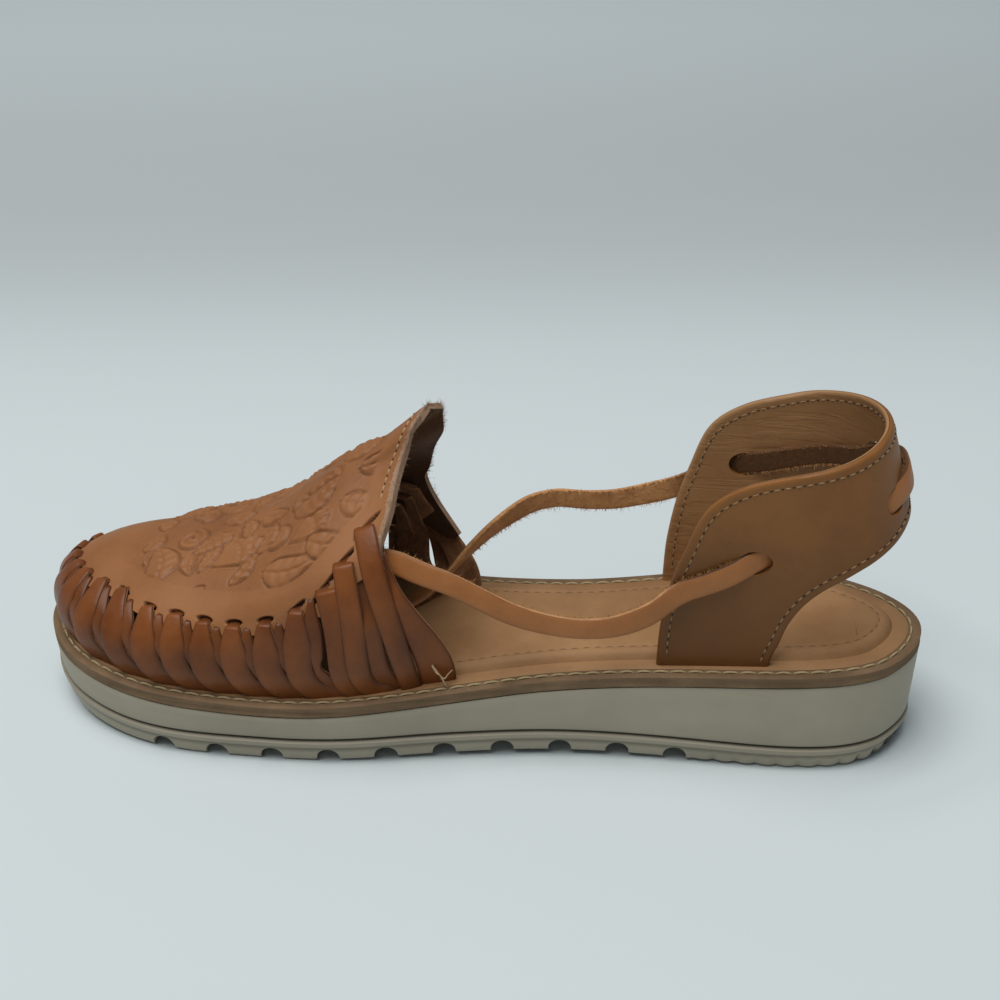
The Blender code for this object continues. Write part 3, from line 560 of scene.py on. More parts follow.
class Nodes:
    """Short ways to write a material's node tree."""

    def __init__(self, name):
        self.material = bpy.data.materials.new(name)
        self.material.use_nodes = True
        self.tree = self.material.node_tree
        self.shader = self.tree.nodes["Principled BSDF"]
        coordinates = self.tree.nodes.new("ShaderNodeTexCoord")
        self.place = coordinates.outputs["Object"]

    def link(self, source, target):
        """Joins an output to an input."""
        self.tree.links.new(source, target)

    def stretched(self, scale):
        node = self.tree.nodes.new("ShaderNodeMapping")
        node.inputs["Scale"].default_value = scale
        self.link(self.place, node.inputs["Vector"])
        return node.outputs["Vector"]

    def noise(self, scale, detail=4.0, roughness=0.55, vector=None, distortion=0.0):
        node = self.tree.nodes.new("ShaderNodeTexNoise")
        node.inputs["Scale"].default_value = scale
        node.inputs["Detail"].default_value = detail
        node.inputs["Roughness"].default_value = roughness
        node.inputs["Distortion"].default_value = distortion
        self.link(vector or self.place, node.inputs["Vector"])
        return node.outputs["Fac"]

    def cells(self, scale, vector=None, feature="F1"):
        node = self.tree.nodes.new("ShaderNodeTexVoronoi")
        node.feature = feature
        node.inputs["Scale"].default_value = scale
        self.link(vector or self.place, node.inputs["Vector"])
        return node.outputs["Distance"]

    def ramp(self, value, low, high, start=0.0, end=1.0):
        node = self.tree.nodes.new("ShaderNodeMapRange")
        node.inputs["From Min"].default_value = low
        node.inputs["From Max"].default_value = high
        node.inputs["To Min"].default_value = start
        node.inputs["To Max"].default_value = end
        self.link(value, node.inputs["Value"])
        return node.outputs["Result"]

    def math(self, operation, first, second):
        node = self.tree.nodes.new("ShaderNodeMath")
        node.operation = operation
        for socket, value in zip(node.inputs, (first, second)):
            if isinstance(value, (int, float)):
                socket.default_value = value
            else:
                self.link(value, socket)
        return node.outputs[0]

    def attribute(self, name):
        node = self.tree.nodes.new("ShaderNodeAttribute")
        node.attribute_name = name
        return node.outputs["Fac"]

    def blend(self, share, first, second):
        node = self.tree.nodes.new("ShaderNodeMix")
        node.data_type = "RGBA"
        self.link(share, node.inputs["Factor"])
        for socket, value in ((node.inputs[6], first), (node.inputs[7], second)):
            if isinstance(value, tuple):
                socket.default_value = (*value, 1.0)
            else:
                self.link(value, socket)
        return node.outputs[2]

    def bump(self, height, strength, distance):
        node = self.tree.nodes.new("ShaderNodeBump")
        node.inputs["Strength"].default_value = strength
        node.inputs["Distance"].default_value = distance
        self.link(height, node.inputs["Height"])
        return node.outputs["Normal"]

    def finish(self, colour=None, roughness=None, normal=None, **values):
        for source, socket in ((colour, "Base Color"), (roughness, "Roughness"), (normal, "Normal")):
            if source is not None:
                self.link(source, self.shader.inputs[socket])
        for name, value in values.items():
            self.shader.inputs[name.replace("_", " ")].default_value = value
        return self.material


def leather(name, gloss, grain=900.0, mottle=45.0, depth=0.12, coat=0.0, attribute=None):
    """Vegetable-tanned leather: cloudy colour, fine pores and a light burnish."""
    n = Nodes(name)
    light, dark = COLOURS[name][:2]
    cloud = n.noise(mottle, 5.0, 0.6)
    fleck = n.noise(grain * 0.5, 3.0, 0.5)
    colour = n.blend(n.ramp(cloud, 0.36, 0.66), dark, light)
    spots = n.ramp(n.noise(mottle * 4.5, 3.0, 0.5), 0.62, 0.78, 0.0, 0.35)
    colour = n.blend(spots, colour, dark)
    if attribute:
        colour = n.blend(n.attribute(attribute), colour, COLOURS[name][2])
    pores = n.cells(grain)
    height = n.math("ADD", n.math("MULTIPLY", pores, 0.6), n.math("MULTIPLY", fleck, 0.8))
    rough = n.ramp(n.noise(mottle * 2.0, 4.0, 0.6), 0.3, 0.7, gloss - 0.08, gloss + 0.12)
    return n.finish(colour, rough, n.bump(height, depth, 0.0006), Coat_Weight=coat, Coat_Roughness=0.4,
                    Specular_IOR_Level=0.22)


def suede(name, grain=700.0, depth=0.5, attribute=None):
    """The rough flesh side of leather: fibres and no gloss."""
    n = Nodes(name)
    light, dark = COLOURS[name][:2]
    strands = n.noise(grain, 8.0, 0.75, distortion=1.2)
    clouds = n.noise(90.0, 5.0, 0.65)
    tone = n.math("ADD", n.math("MULTIPLY", strands, 0.6), n.math("MULTIPLY", clouds, 0.5))
    colour = n.blend(n.ramp(tone, 0.38, 0.72), dark, light)
    if attribute:
        colour = n.blend(n.attribute(attribute), colour, COLOURS[name][2])
    return n.finish(colour, None, n.bump(strands, depth, 0.0012), Roughness=0.95, Sheen_Weight=0.1,
                    Specular_IOR_Level=0.15)


def foam_rubber():
    """Cream sole: satin, a little uneven, with scuffs, and painted shade in its groove, notches and
    underside.
    """
    n = Nodes("sole_cream")
    cloud = n.noise(25.0, 5.0, 0.6)
    light, dark, shaded = COLOURS["sole_cream"]
    colour = n.blend(n.ramp(cloud, 0.35, 0.7), dark, light)
    scuffs = n.noise(160.0, 6.0, 0.7, n.stretched((0.35, 1.0, 2.2)))
    colour = n.blend(n.ramp(scuffs, 0.60, 0.80, 0.0, 0.45), colour, COLOURS["sole_scuffs"][0])
    # Painted shade: the recess attribute darkens the groove, the notches and the underside
    colour = n.blend(n.attribute("recess_shade"), colour, shaded)
    fine = n.noise(700.0, 3.0, 0.5)
    rough = n.ramp(cloud, 0.3, 0.7, 0.42, 0.6)
    return n.finish(colour, rough, n.bump(fine, 0.08, 0.0005), Specular_IOR_Level=0.35)


def welt_board():
    """Grey-brown leather board, its cut edge streaked along the shoe."""
    n = Nodes("welt_board")
    layers = n.noise(240.0, 6.0, 0.7, n.stretched((0.12, 0.12, 3.0)))
    cloud = n.noise(60.0, 4.0, 0.6)
    tone = n.math("ADD", n.math("MULTIPLY", layers, 0.6), n.math("MULTIPLY", cloud, 0.5))
    light, dark = COLOURS["welt_board"]
    colour = n.blend(n.ramp(tone, 0.38, 0.72), dark, light)
    fine = n.noise(900.0, 4.0, 0.6)
    return n.finish(colour, None, n.bump(n.math("ADD", fine, layers), 0.35, 0.0008), Roughness=0.85,
                    Specular_IOR_Level=0.2)


def thread(name):
    """Twisted sewing thread; in a near-black colour it also paints the shade in the pinholes."""
    n = Nodes(name)
    colour = COLOURS[name][0]
    twist = n.noise(1500.0, 3.0, 0.6)
    mixed = n.blend(n.ramp(twist, 0.3, 0.7), tuple(c * 0.7 for c in colour), colour)
    return n.finish(mixed, None, n.bump(twist, 0.4, 0.0003), Roughness=0.7)


def set_attribute(item, name, values):
    """Stores a value for each point, which a material can read."""
    layer = item.data.attributes.new(name, "FLOAT", "POINT")
    layer.data.foreach_set("value", np.asarray(values, np.float32))


def fine_plate(name, loops, material, cap_rungs):
    """A closed solid of the sole's outline: a list of points for each loop, bottom to top."""
    count = len(loops[0])
    half = count // 2
    vertices = [point for loop in loops for point in loop]
    faces = []
    for level in range(len(loops) - 1):
        low, high = level * count, (level + 1) * count
        for k in range(count):
            n = (k + 1) % count
            faces.append((low + n, low + k, high + k, high + n))
    for base, loop, flip in ((0, loops[0], False), ((len(loops) - 1) * count, loops[-1], True)):
        rungs = {}

        def rung(k):
            """Points across the cap from the lateral side to the medial side."""
            if k in rungs:
                return rungs[k]
            other = (count - k) % count
            if k == other:
                rungs[k] = [base + k] * (cap_rungs + 1)
                return rungs[k]
            inner = []
            for step in range(1, cap_rungs):
                t = step / cap_rungs
                inner.append(len(vertices))
                vertices.append(loop[k] * (1 - t) + loop[other] * t)
            rungs[k] = [base + k] + inner + [base + other]
            return rungs[k]

        for k in range(half):
            first, second = rung(k), rung(k + 1)
            for step in range(cap_rungs):
                face = [first[step], second[step], second[step + 1], first[step + 1]]
                face = [v for n, v in enumerate(face) if v not in face[:n]]
                if len(face) > 2:
                    faces.append(tuple(face[::-1] if flip else face))
    return new_object(name, vertices, faces, [material])


def sole_wall(share_down, loop_reach):
    """How far the sole's side is set in: more towards the floor, and more behind the heel."""
    heel = ease(1 - loop_reach / SLING_ROUND)
    return share_down * (SIDE_TAPER + HEEL_SLANT * heel)


def make_outsole():
    """Cream wedge: smooth upper band, groove, rib and a notched lower band."""
    def above(height):
        return lambda reach: tread_height(reach) + height

    def top(reach):
        return stack_top(reach) - MIDSOLE_THICKNESS - GAP

    def wall(share, more=0.0):
        return lambda reach: sole_wall(share, reach) + more

    scallops = scallop_depth()
    rib_top = GROOVE_HEIGHT - GROOVE_WIDTH / 2
    half = RIB_HEIGHT / 2
    profile = [
        (wall(1.0, TREAD_ROUND), above(0.0), 1.0),
        (wall(1.0, TREAD_ROUND * 0.55), above(TREAD_ROUND * 0.12), 1.0),
        (wall(1.0, TREAD_ROUND * 0.2), above(TREAD_ROUND * 0.45), 1.0),
        (wall(1.0), above(TREAD_ROUND), 1.0),
        (wall(0.85), above(TREAD_ROUND * 1.9), 0.8),
        (wall(0.75), above(rib_top - RIB_HEIGHT - 0.5 * MM), 0.0),
        (wall(0.7, -RIB_PROUD * 0.1), above(rib_top - RIB_HEIGHT), 0.0),
        (wall(0.68, -RIB_PROUD * 0.8), above(rib_top - RIB_HEIGHT + 0.35 * MM), 0.0),
        (wall(0.6, -RIB_PROUD), above(rib_top - half), 0.0),
        (wall(0.56, -RIB_PROUD * 0.85), above(rib_top - 0.3 * MM), 0.0),
        (wall(0.55, -RIB_PROUD * 0.2), above(rib_top), 0.0),
        (wall(0.5, GROOVE_DEPTH * 0.8), above(GROOVE_HEIGHT - 0.2 * MM), 0.0),
        (wall(0.5, GROOVE_DEPTH * 0.8), above(GROOVE_HEIGHT + 0.2 * MM), 0.0),
        (wall(0.5, 0.1 * MM), above(GROOVE_HEIGHT + GROOVE_WIDTH / 2), 0.0),
        (wall(0.45), above(GROOVE_HEIGHT + GROOVE_WIDTH), 0.0),
    ]
    loops = []
    flat = outline(0.0)
    for inset, height, scalloped in profile:
        loop = outline(inset(flat[:, 0]) + scallops * scalloped)
        loops.append(place(loop[:, 0], loop[:, 1], height(loop[:, 0])))
    under = loops[-1]
    for share in (0.35, 0.7, 0.93, 1.0):
        rim = 0.25 * MM if share == 1.0 else 0.0
        loop = outline(sole_wall(0.45 - 0.35 * share, flat[:, 0]) + rim + wobble(0.12 * MM, 3) * share)
        height = under[:, 2] + (top(loop[:, 0]) - under[:, 2]) * share
        loops.append(place(loop[:, 0], loop[:, 1], height))
    sole = fine_plate("sole_wedge", loops, foam_rubber(), 12)
    cut_notches(sole)
    shade_recesses(sole)
    return dress(sole, "outsole", "outsole")


def scallop_depth():
    """How far the tread's edge is cut in round the heel, for each point of the outline."""
    loop = outline(0.0)
    length = run_round(loop)
    length = np.minimum(length, length[-1] - length)
    wave = np.abs(np.sin(math.pi * length / SCALLOP_PITCH)) ** 0.5
    return SCALLOP_DEPTH * (1 - wave) * ease((SCALLOP_END - loop[:, 0]) / (4 * MM))


def run_round(loop):
    """Distance along a closed outline from its first point."""
    steps = np.linalg.norm(loop - np.roll(loop, 1, axis=0), axis=1)
    steps[0] = 0.0
    return np.cumsum(steps)


def wobble(amount, seed):
    """Slight unevenness of a hand-cut edge, for each point of the outline."""
    share = run_round(outline(0.0))
    share = share / share[-1] * 2 * math.pi
    waves = np.random.default_rng(seed)
    total = np.zeros(len(share))
    for turns in (3, 5, 8, 13, 21, 34, 47):
        wave = np.sin(share * turns + waves.uniform(0, 6.28))
        total += wave * waves.uniform(0.3, 1.0) / turns ** 0.35
    return amount * total / 1.6


def cut_notches(sole):
    """The round-topped channels across the tread."""
    steps = 14
    half = NOTCH_WIDTH / 2
    turns = np.linspace(0.0, math.pi, steps + 1)
    profile = [(half, -NOTCH_DEPTH)]
    profile += [(half * 0.92 * math.cos(t), NOTCH_DEPTH * (0.35 + 0.65 * math.sin(t))) for t in turns]
    profile += [(-half, -NOTCH_DEPTH)]
    vertices = []
    faces = []
    count = len(profile)
    for number in range(NOTCH_COUNT):
        reach = NOTCH_FIRST - number * NOTCH_PITCH
        low = float(tread_height(reach))
        start = len(vertices)
        for side in (BALL_WIDTH, -BALL_WIDTH):
            vertices += [place(reach + along, side, low + up)[0] for along, up in profile]
        faces.append(tuple(start + k for k in range(count)))
        faces.append(tuple(start + count + k for k in reversed(range(count))))
        for k in range(count):
            n = (k + 1) % count
            faces.append((start + n, start + k, start + count + k, start + count + n))
    cutter = new_object("notch_cutter", vertices, faces)
    take_out(sole, cutter)


def take_out(item, cutter):
    """Cuts one object's shape out of another."""
    apply_modifier(item, "BOOLEAN", 35, operation="DIFFERENCE", solver="EXACT", object=cutter)
    bpy.data.objects.remove(cutter)


def shade_recesses(sole):
    """Painted shade in the groove, in the notches and on the underside."""
    points = mesh_array(sole.data.vertices, "co", 3)
    reach = LENGTH / 2 - points[:, 0]
    up = points[:, 2] - tread_height(reach)
    groove = np.exp(-((up - GROOVE_HEIGHT) / (0.6 * MM)) ** 2)
    rib_foot = 0.5 * np.exp(-((up - GROOVE_HEIGHT + RIB_HEIGHT + GROOVE_WIDTH) / (0.6 * MM)) ** 2)
    sides = [plan_curve(side, SOLE_SIDES) for side in ("lateral", "medial")]
    lateral, medial = (np.interp(reach, side[:, 0], np.abs(side[:, 1])) for side in sides)
    within = np.where(points[:, 1] < 0, lateral, medial) - np.abs(points[:, 1])
    under = ease((within - SIDE_TAPER - 0.9 * MM) / (0.8 * MM))
    under = under * ease((NOTCH_DEPTH * 1.3 - up) / (0.5 * MM))
    set_attribute(sole, "recess_shade", np.clip(0.8 * groove + rib_foot + 0.95 * under, 0.0, 1.0))


def sole_loop(inset, up):
    """The sole's outline set in by a distance, at a height over the midsole's top."""
    loop = outline(inset)
    return place(loop[:, 0], loop[:, 1], stack_top(loop[:, 0]) + up)


def seam_round(name, inset, up, pitch, share, radius, material):
    """A row of stitches that runs round the sole."""
    path = sole_loop(inset, up)
    path = np.vstack([path, path[:1]])
    outward = np.tile((0.0, 0.0, 1.0), (len(path), 1))
    return stitches(name, path, outward, pitch, share, radius, material)


def make_welt():
    """Leather board between sole and upper, with a row of stitches along its ledge."""
    edge = MIDSOLE_EDGE_ROUND
    seam = WELT_STITCH_INSET
    uneven = wobble(0.14 * MM, 11) + 0.12 * MM
    profile = [
        (edge, MIDSOLE_THICKNESS),
        (edge * 0.2, MIDSOLE_THICKNESS - edge * 0.4),
        (uneven, MIDSOLE_THICKNESS - edge * 1.2),
        (edge * 0.15 + uneven, MIDSOLE_THICKNESS * 0.55),
        (uneven, MIDSOLE_THICKNESS * 0.45),
        (uneven, edge * 1.2),
        (edge * 0.25, edge * 0.4),
        (edge, 0.0),
        (seam - 0.8 * MM, 0.0),
        (seam - 0.3 * MM, 0.3 * MM),
        (seam + 0.3 * MM, 0.3 * MM),
        (seam + 0.8 * MM, 0.0),
        (LEDGE, 0.0),
    ]
    loops = [sole_loop(inset, -down) for inset, down in profile]
    dress(fine_plate("welt", loops, welt_board(), 10), "midsole", "midsole")
    pale = thread("welt_thread")
    row = seam_round("welt_stitches", seam, -0.05 * MM, WELT_STITCH_PITCH, 0.9, THREAD, pale)
    dress(row, "midsole")


def make_sock():
    """Thin leather insole: a soft edge, a flange that reaches out to the welt's stitches, and a
    seam round it."""
    inset = LEDGE + SLING_WALL + 2 * GAP
    top = GAP + INSOLE_THICKNESS
    seam = INSOLE_SEAM_INSET
    flange = 0.24 * MM
    profile = [
        (-4.4 * MM, 0.1 * GAP),
        (-4.55 * MM, 0.4 * GAP),
        (-4.4 * MM, flange),
        (-0.25 * MM, flange),
        (0.0, GAP + INSOLE_THICKNESS * 0.15),
        (0.5 * MM, GAP + INSOLE_THICKNESS * 0.5),
        (1.2 * MM, GAP + INSOLE_THICKNESS * 0.83),
        (2.1 * MM, GAP + INSOLE_THICKNESS * 0.98),
        (seam - 0.9 * MM, top),
        (seam - 0.35 * MM, top - 0.12 * MM),
        (seam, top - 0.32 * MM),
        (seam + 0.35 * MM, top - 0.15 * MM),
        (seam + 1.2 * MM, top),
    ]
    loops = [sole_loop(inset + more, up) for more, up in profile]
    lining = leather("insole_leather", 0.6, 1100.0, 26.0, 0.14)
    dress(fine_plate("insole_sock", loops, lining, 16), "insole", "insole")
    brown = thread("insole_thread")
    row = seam_round("insole_stitches", inset + seam, top - 0.3 * MM, INSOLE_STITCH_PITCH, 0.7,
                     FINE_THREAD * 0.8, brown)
    dress(row, "insole")


def unit(vectors):
    return vectors / np.maximum(np.linalg.norm(vectors, axis=-1, keepdims=True), 1e-12)


def stitches(name, path, outward, pitch, share, radius, material, phase=0.5):
    """A row of short stitches along a line, each one bulging outward with its ends sunk. Phase
    0.5 centres each in its pitch, and phase 1 puts it between two of those."""
    sides, rings = 6, 6
    steps = run_along(path)
    count = int(steps[-1] / pitch)
    turns = np.arange(sides) * 2 * math.pi / sides
    run = np.linspace(-1.0, 1.0, rings)
    arch = radius * (1.1 * np.cos(run * math.pi / 2) - 0.7)
    swell = radius * np.clip(1 - run ** 4, 0.15, 1.0) ** 0.5
    vertices = []
    faces = []
    for n in range(count if phase == 0.5 else count - 1):
        middle = (n + phase) * steps[-1] / count
        at = middle + run * pitch * share / 2
        centre = np.column_stack([np.interp(at, steps, path[:, k]) for k in range(3)])
        out = unit(np.array([np.interp(middle, steps, outward[:, k]) for k in range(3)]))
        aside = unit(np.cross(unit(centre[-1] - centre[0]), out))
        faces += tube_faces(len(vertices), rings, sides, True)
        for point, rise, wide in zip(centre, arch, swell):
            for turn in turns:
                round_it = out * (rise + wide * math.sin(turn)) + aside * wide * math.cos(turn)
                vertices.append(point + round_it)
    item = new_object(name, vertices, faces, [material])
    weld(item)
    return item


class Ribbons:
    """Flat leather straps with soft edges, gathered in one mesh: face up is the grain side."""

    SIDES = 16

    def __init__(self):
        self.vertices = []
        self.faces = []
        self.slots = []
        self.edge = []
        turns = (np.arange(self.SIDES) + 0.5) * 2 * math.pi / self.SIDES
        self.across = np.sign(np.cos(turns)) * np.abs(np.cos(turns)) ** 0.35
        self.over = np.sign(np.sin(turns)) * np.abs(np.sin(turns)) ** 0.5

    def add(self, centre, wide, thick, half_width, thickness, crown=0.0, shade=0.0, covered_shade=0.0):
        """One strap along a line, darker at its cut edges, with painted shade along it and over its
        heelward half, where the next strap covers it.
        """
        start = len(self.vertices)
        count = len(centre)
        half_width = np.broadcast_to(half_width, count)
        shade = np.broadcast_to(shade, count)
        covered_shade = np.broadcast_to(covered_shade, count)
        for n in range(count):
            for x, y in zip(self.across, self.over):
                rise = thickness / 2 * y + crown * (1 - x * x)
                self.vertices.append(centre[n] + wide[n] * half_width[n] * x + thick[n] * rise)
                # Edge tone: darker cut edges, and painted shade where the strap is tucked or covered
                near_edge = max(abs(x) ** 9 * 0.7, covered_shade[n] * max(x, 0.0) ** 2)
                self.edge.append(max(near_edge, shade[n]))
        self.faces += tube_faces(start, count, self.SIDES, True)
        half_ring = self.SIDES // 2
        self.slots += ([0] * half_ring + [1] * half_ring) * (count - 1) + [1, 1]

    def build(self, name, grain, flesh):
        item = new_object(name, self.vertices, self.faces, [grain, flesh], self.slots, 60)
        # The edge attribute carries the cut edges' dark and the painted shade
        set_attribute(item, "edge", self.edge)
        weld(item)
        return item


def rib_frame(side, share, row):
    """Points of the upper's face with the directions heelward, upward and outward there."""
    share, row = np.broadcast_arrays(np.asarray(share, float), np.asarray(row, float))
    d = 0.004
    points = rib_points(side, share, row)
    heelward = rib_points(side, share + d, row) - rib_points(side, np.maximum(share - d, 0.0), row)
    over, under = np.minimum(row + d, 1.0), np.maximum(row - d, 0.0)
    upward = rib_points(side, share, over) - rib_points(side, share, under)
    out = np.cross(heelward, upward)
    if side == "medial":
        out = -out
    return points, unit(heelward), unit(upward), unit(out)


def strap_shift(share, t):
    """How far heelward a strap has swept, beyond the lean that every rib has: it runs straight
    down and then turns along the welt, and slants at the throat."""
    lean = STRIP_LEAN * ease(share / 0.3) + THROAT_LEAN * throat_weight(share)
    down = np.clip(t, 0.0, 1.0)
    turn = np.clip((down - SWEEP_START) / (1 - SWEEP_START), 0.0, 1.0)
    rear = ease((share - 0.80) / 0.08)
    last = ease((share - 0.905) / 0.03)
    sweep = (STRIP_LEAN + 1.5 * MM) * ease((share - 0.02) / 0.12) * (1 - 0.5 * rear)
    wanted = sweep * (1 - np.sqrt(1 - turn ** 2)) + 5.5 * MM * rear * down
    wanted = wanted * (1 - last) + 13.2 * MM * last * down ** 0.85
    return wanted - lean * ease(down)


def weave_strap(ribbons, side, share, drop, ply):
    """One strap from its slot down to the welt: ply 0 lies on top, ply 1 behind it."""
    quarter = np.linspace(0.0, math.pi / 2, 24)[1:]
    sweep = SWEEP_START + (1 - SWEEP_START) * np.sin(quarter)
    t = np.concatenate([np.linspace(-SLOT_TUCK, 0.06, 9), np.linspace(0.08, SWEEP_START, 12), sweep])
    arc = FOOT.length_at(side, THROAT_REACH)
    rear = ease((share - 0.83) / 0.03)
    last = ease((share - 0.92) / 0.01)
    shift = strap_shift(share, t)
    if ply == 1:
        beside = 0.032 * (1 - rear) + 0.027 * rear
        shift = (shift + beside * arc) * (1 - last) + arc * (0.009 + 0.021 * np.clip(t, 0, 1)) * last
    shares = share + shift / arc
    margin = margin_row(side, shares)
    height = MARGIN_HEIGHT * float(smooth(MARGIN["along"], MARGIN[side], share))
    rows = margin * (1.0 - t) * (1.0 - drop / height)
    points, _, _, out = rib_frame(side, shares, rows)
    tip = np.clip((t + SLOT_TUCK) / 0.36, 0.0, 1.0) ** 0.75
    if ply == 0:
        lift = -1.75 * MM + 2.5 * MM * ease((t + SLOT_TUCK) / 0.075) - 0.75 * MM * ease((t - 0.6) / 0.4)
        half = STRIP_WIDTH / 2 * (1.0 - 0.66 * (1 - rear) * (1 - tip)) * (1.0 - 0.2 * rear)
        half = half * (1.0 + 0.04 * np.sin(t * 5.0 + share * 40))
        tilt = 0.17 * ease((t - 0.12) / 0.3)
        crown = 0.22 * MM
        # Painted shade at the top, where the strap goes into its slot, and on its heelward half low down,
        # beside the strap that covers it
        shade = 0.5 * (1 - ease((t + 0.03) / 0.05))
        covered_shade = 0.75 * ease((t - 0.3) / 0.25)
    else:
        hidden = rear * (1 - ease((t - 0.32) / 0.12))
        lift = -1.7 * MM + 1.75 * MM * ease((t + 0.02) / 0.09) - 0.75 * MM * ease((t - 0.4) / 0.4)
        lift = lift - 1.6 * MM * hidden - 0.35 * MM * last
        waist = 1.0 - 0.55 * np.exp(-((t - 0.60) / 0.09) ** 2) * ease((share - 0.55) / 0.05) * (1 - rear)
        body = (0.20 + 0.50 * ease(t / 0.3)) * (1 - rear) + 0.95 * rear * (1 - last)
        body = body + (1.02 + 0.30 * ease((t - 0.55) / 0.4)) * last
        half = STRIP_WIDTH / 2 * body * waist
        tilt = 0.28 * (1 - ease(t / 0.5)) * (1 - last)
        crown = 0.12 * MM
        # Painted shade on the ply behind: deep at its slot, light all along, and on its heelward half,
        # except on the last strap
        shade = 0.8 * (1 - ease(t / 0.08)) + 0.2 * (1 - last)
        covered_shade = 0.6 * (1 - last)
    points = points + out * lift[:, None]
    tail = points[-1] + unit(points[-1] - points[-3]) * np.array([[1.0 * MM], [1.8 * MM]])
    tail[:, 2] -= np.array([0.5, 1.4]) * MM
    points = np.vstack([points, tail])

    def longer(values):
        """The tail's two points take over the last value."""
        values = np.broadcast_to(values, (len(t),) + np.shape(values)[1:])
        return np.concatenate([values, values[-1:], values[-1:]])

    out = longer(out)
    tilt = longer(tilt)[:, None]
    ahead = unit(np.gradient(points, axis=0))
    wide = unit(np.cross(out, ahead))
    if np.sum(wide[:, 0]) < 0:
        wide = -wide
    wide = unit(wide * np.cos(tilt) - out * np.sin(tilt))
    thick = unit(out - wide * np.sum(out * wide, axis=1)[:, None])
    ribbons.add(points, wide, thick, longer(half), STRIP_THICKNESS, crown, longer(shade), longer(covered_shade))


def make_weave():
    """Straps of the weave, from toe tip to throat on both sides, two to a slot."""
    ribbons = Ribbons()
    for side in ("lateral", "medial"):
        for share, drop in zip(SLOTS["share"], SLOTS["drop"]):
            for ply in (0, 1):
                weave_strap(ribbons, side, share, drop * MM, ply)
    grain = leather("strap_leather", 0.36, 900.0, 55.0, 0.10, 0.08, "edge")
    flesh = suede("strap_flesh", 500.0, 0.8)
    dress(ribbons.build("woven_straps", grain, flesh), "upper", "upper")
    loose_thread()


def loose_thread():
    """Frayed thread where the last strap goes under the insole."""
    vertices = []
    faces = []
    sides = 6
    for line in LOOSE_THREAD:
        line = np.array(line)
        at = np.linspace(0.0, len(line) - 1.0, 5 * len(line))
        centre = np.column_stack([smooth(range(len(line)), line[:, k], at) for k in range(3)]) * MM
        centre[:, 0] = LENGTH / 2 - centre[:, 0]
        ahead = unit(np.gradient(centre, axis=0))
        first = unit(np.cross(ahead, (0.3, 0.2, 1.0)))
        second = np.cross(ahead, first)
        faces += tube_faces(len(vertices), len(centre), sides)
        for n in range(len(centre)):
            size = FINE_THREAD * (1.3 - 0.7 * n / len(centre))
            for k in range(sides):
                turn = 2 * math.pi * k / sides
                round_it = first[n] * math.cos(turn) + second[n] * math.sin(turn)
                vertices.append(centre[n] + round_it * size)
    item = new_object("loose_thread", vertices, faces, [thread("pale_thread")])
    dress(item, "upper")


# Tooling of the vamp, for one side; the other side mirrors it. Reach and distance from the
# crown line in mm, heading in degrees from toeward to outward
LEAVES = {
    "reach":   [206, 188, 150, 146, 203, 168, 181, 160, 197, 172, 187, 211, 199, 178, 166, 172, 158, 192,
                154, 219, 183],
    "across":  [30, 28, 29, 13, 13, 33, 21, 1, 1, 6, 12, 23, 21, 28, 25, 14, 17, 8, 9, 9, 5],
    "heading": [200, 235, 140, 170, 100, 180, 255, 180, 200, 120, 285, 285, 262, 168, 158, 205, 165, 30,
                190, 250, 150],
    "length":  [11, 10, 12, 10, 9, 9, 10, 11, 11, 9, 9, 15, 14, 16, 13, 13, 12, 12, 9, 9, 9],
    "width":   [6, 5, 6, 5, 5, 5, 5, 6, 6, 5, 5, 10, 5, 8, 7, 8, 7, 7, 5, 6, 6],
    "veins":   [4, 4, 4, 3, 3, 3, 4, 4, 4, 3, 3, 5, 7, 5, 4, 5, 4, 5, 3, 3, 3],
}
FANS = {
    "reach":   [196, 172],
    "across":  [20, 23],
    "heading": [212, 200],
    "length":  [13, 11],
    "spread":  [46, 40],
}
SCROLLS = {
    "reach":   [205, 214, 164, 149, 186, 176],
    "across":  [7, 15, 7, 21, 15, 19],
    "heading": [40, 120, 200, 100, 320, 60],
    "radius":  [4.2, 3.4, 4.4, 4.0, 3.6, 3.0],
}


def own_places(p, q, reach, across, heading):
    """Places seen from a motif: along its heading and aside of it."""
    turn = math.radians(heading)
    along = (p - reach) * math.cos(turn) + (q - across) * math.sin(turn)
    aside = (q - across) * math.cos(turn) - (p - reach) * math.sin(turn)
    return along, aside


def cut_round(height, edge):
    """A motif's height with the line cut round it, and where it covers the ground."""
    return height - 1.5 * np.exp(-(edge / 0.45) ** 2), np.clip(1.0 - (edge - 0.4) / 0.5, 0.0, 1.0)


def leaf_relief(p, q, reach, across, heading, length, width, veins):
    """A leaf with its veins."""
    along, aside = own_places(p, q, reach, across, heading)
    along = along / length
    bend = aside + 0.12 * length * np.sin(math.pi * np.clip(along, 0, 1))
    inside = np.clip(along, 0.0, 1.0)
    half = width / 2 * np.maximum(4 * inside * (1 - inside), 0.0) ** 0.6 * (1.3 - 0.6 * inside)
    past = np.abs(bend) - half
    edge = np.where((along > 0) & (along < 1), past, np.hypot(bend, (along - inside) * length))
    body = np.clip(-edge / (width * 0.35), 0.0, 1.0)
    wave = np.cos(2 * math.pi * (along * veins - 0.8 * np.abs(bend) / width))
    height = 0.2 + 0.5 * body ** 0.6 + 0.34 * np.minimum(body * 4, 1) * wave
    height -= 0.8 * np.exp(-(bend / 0.35) ** 2) * (along < 0.9)
    return cut_round(height, edge)


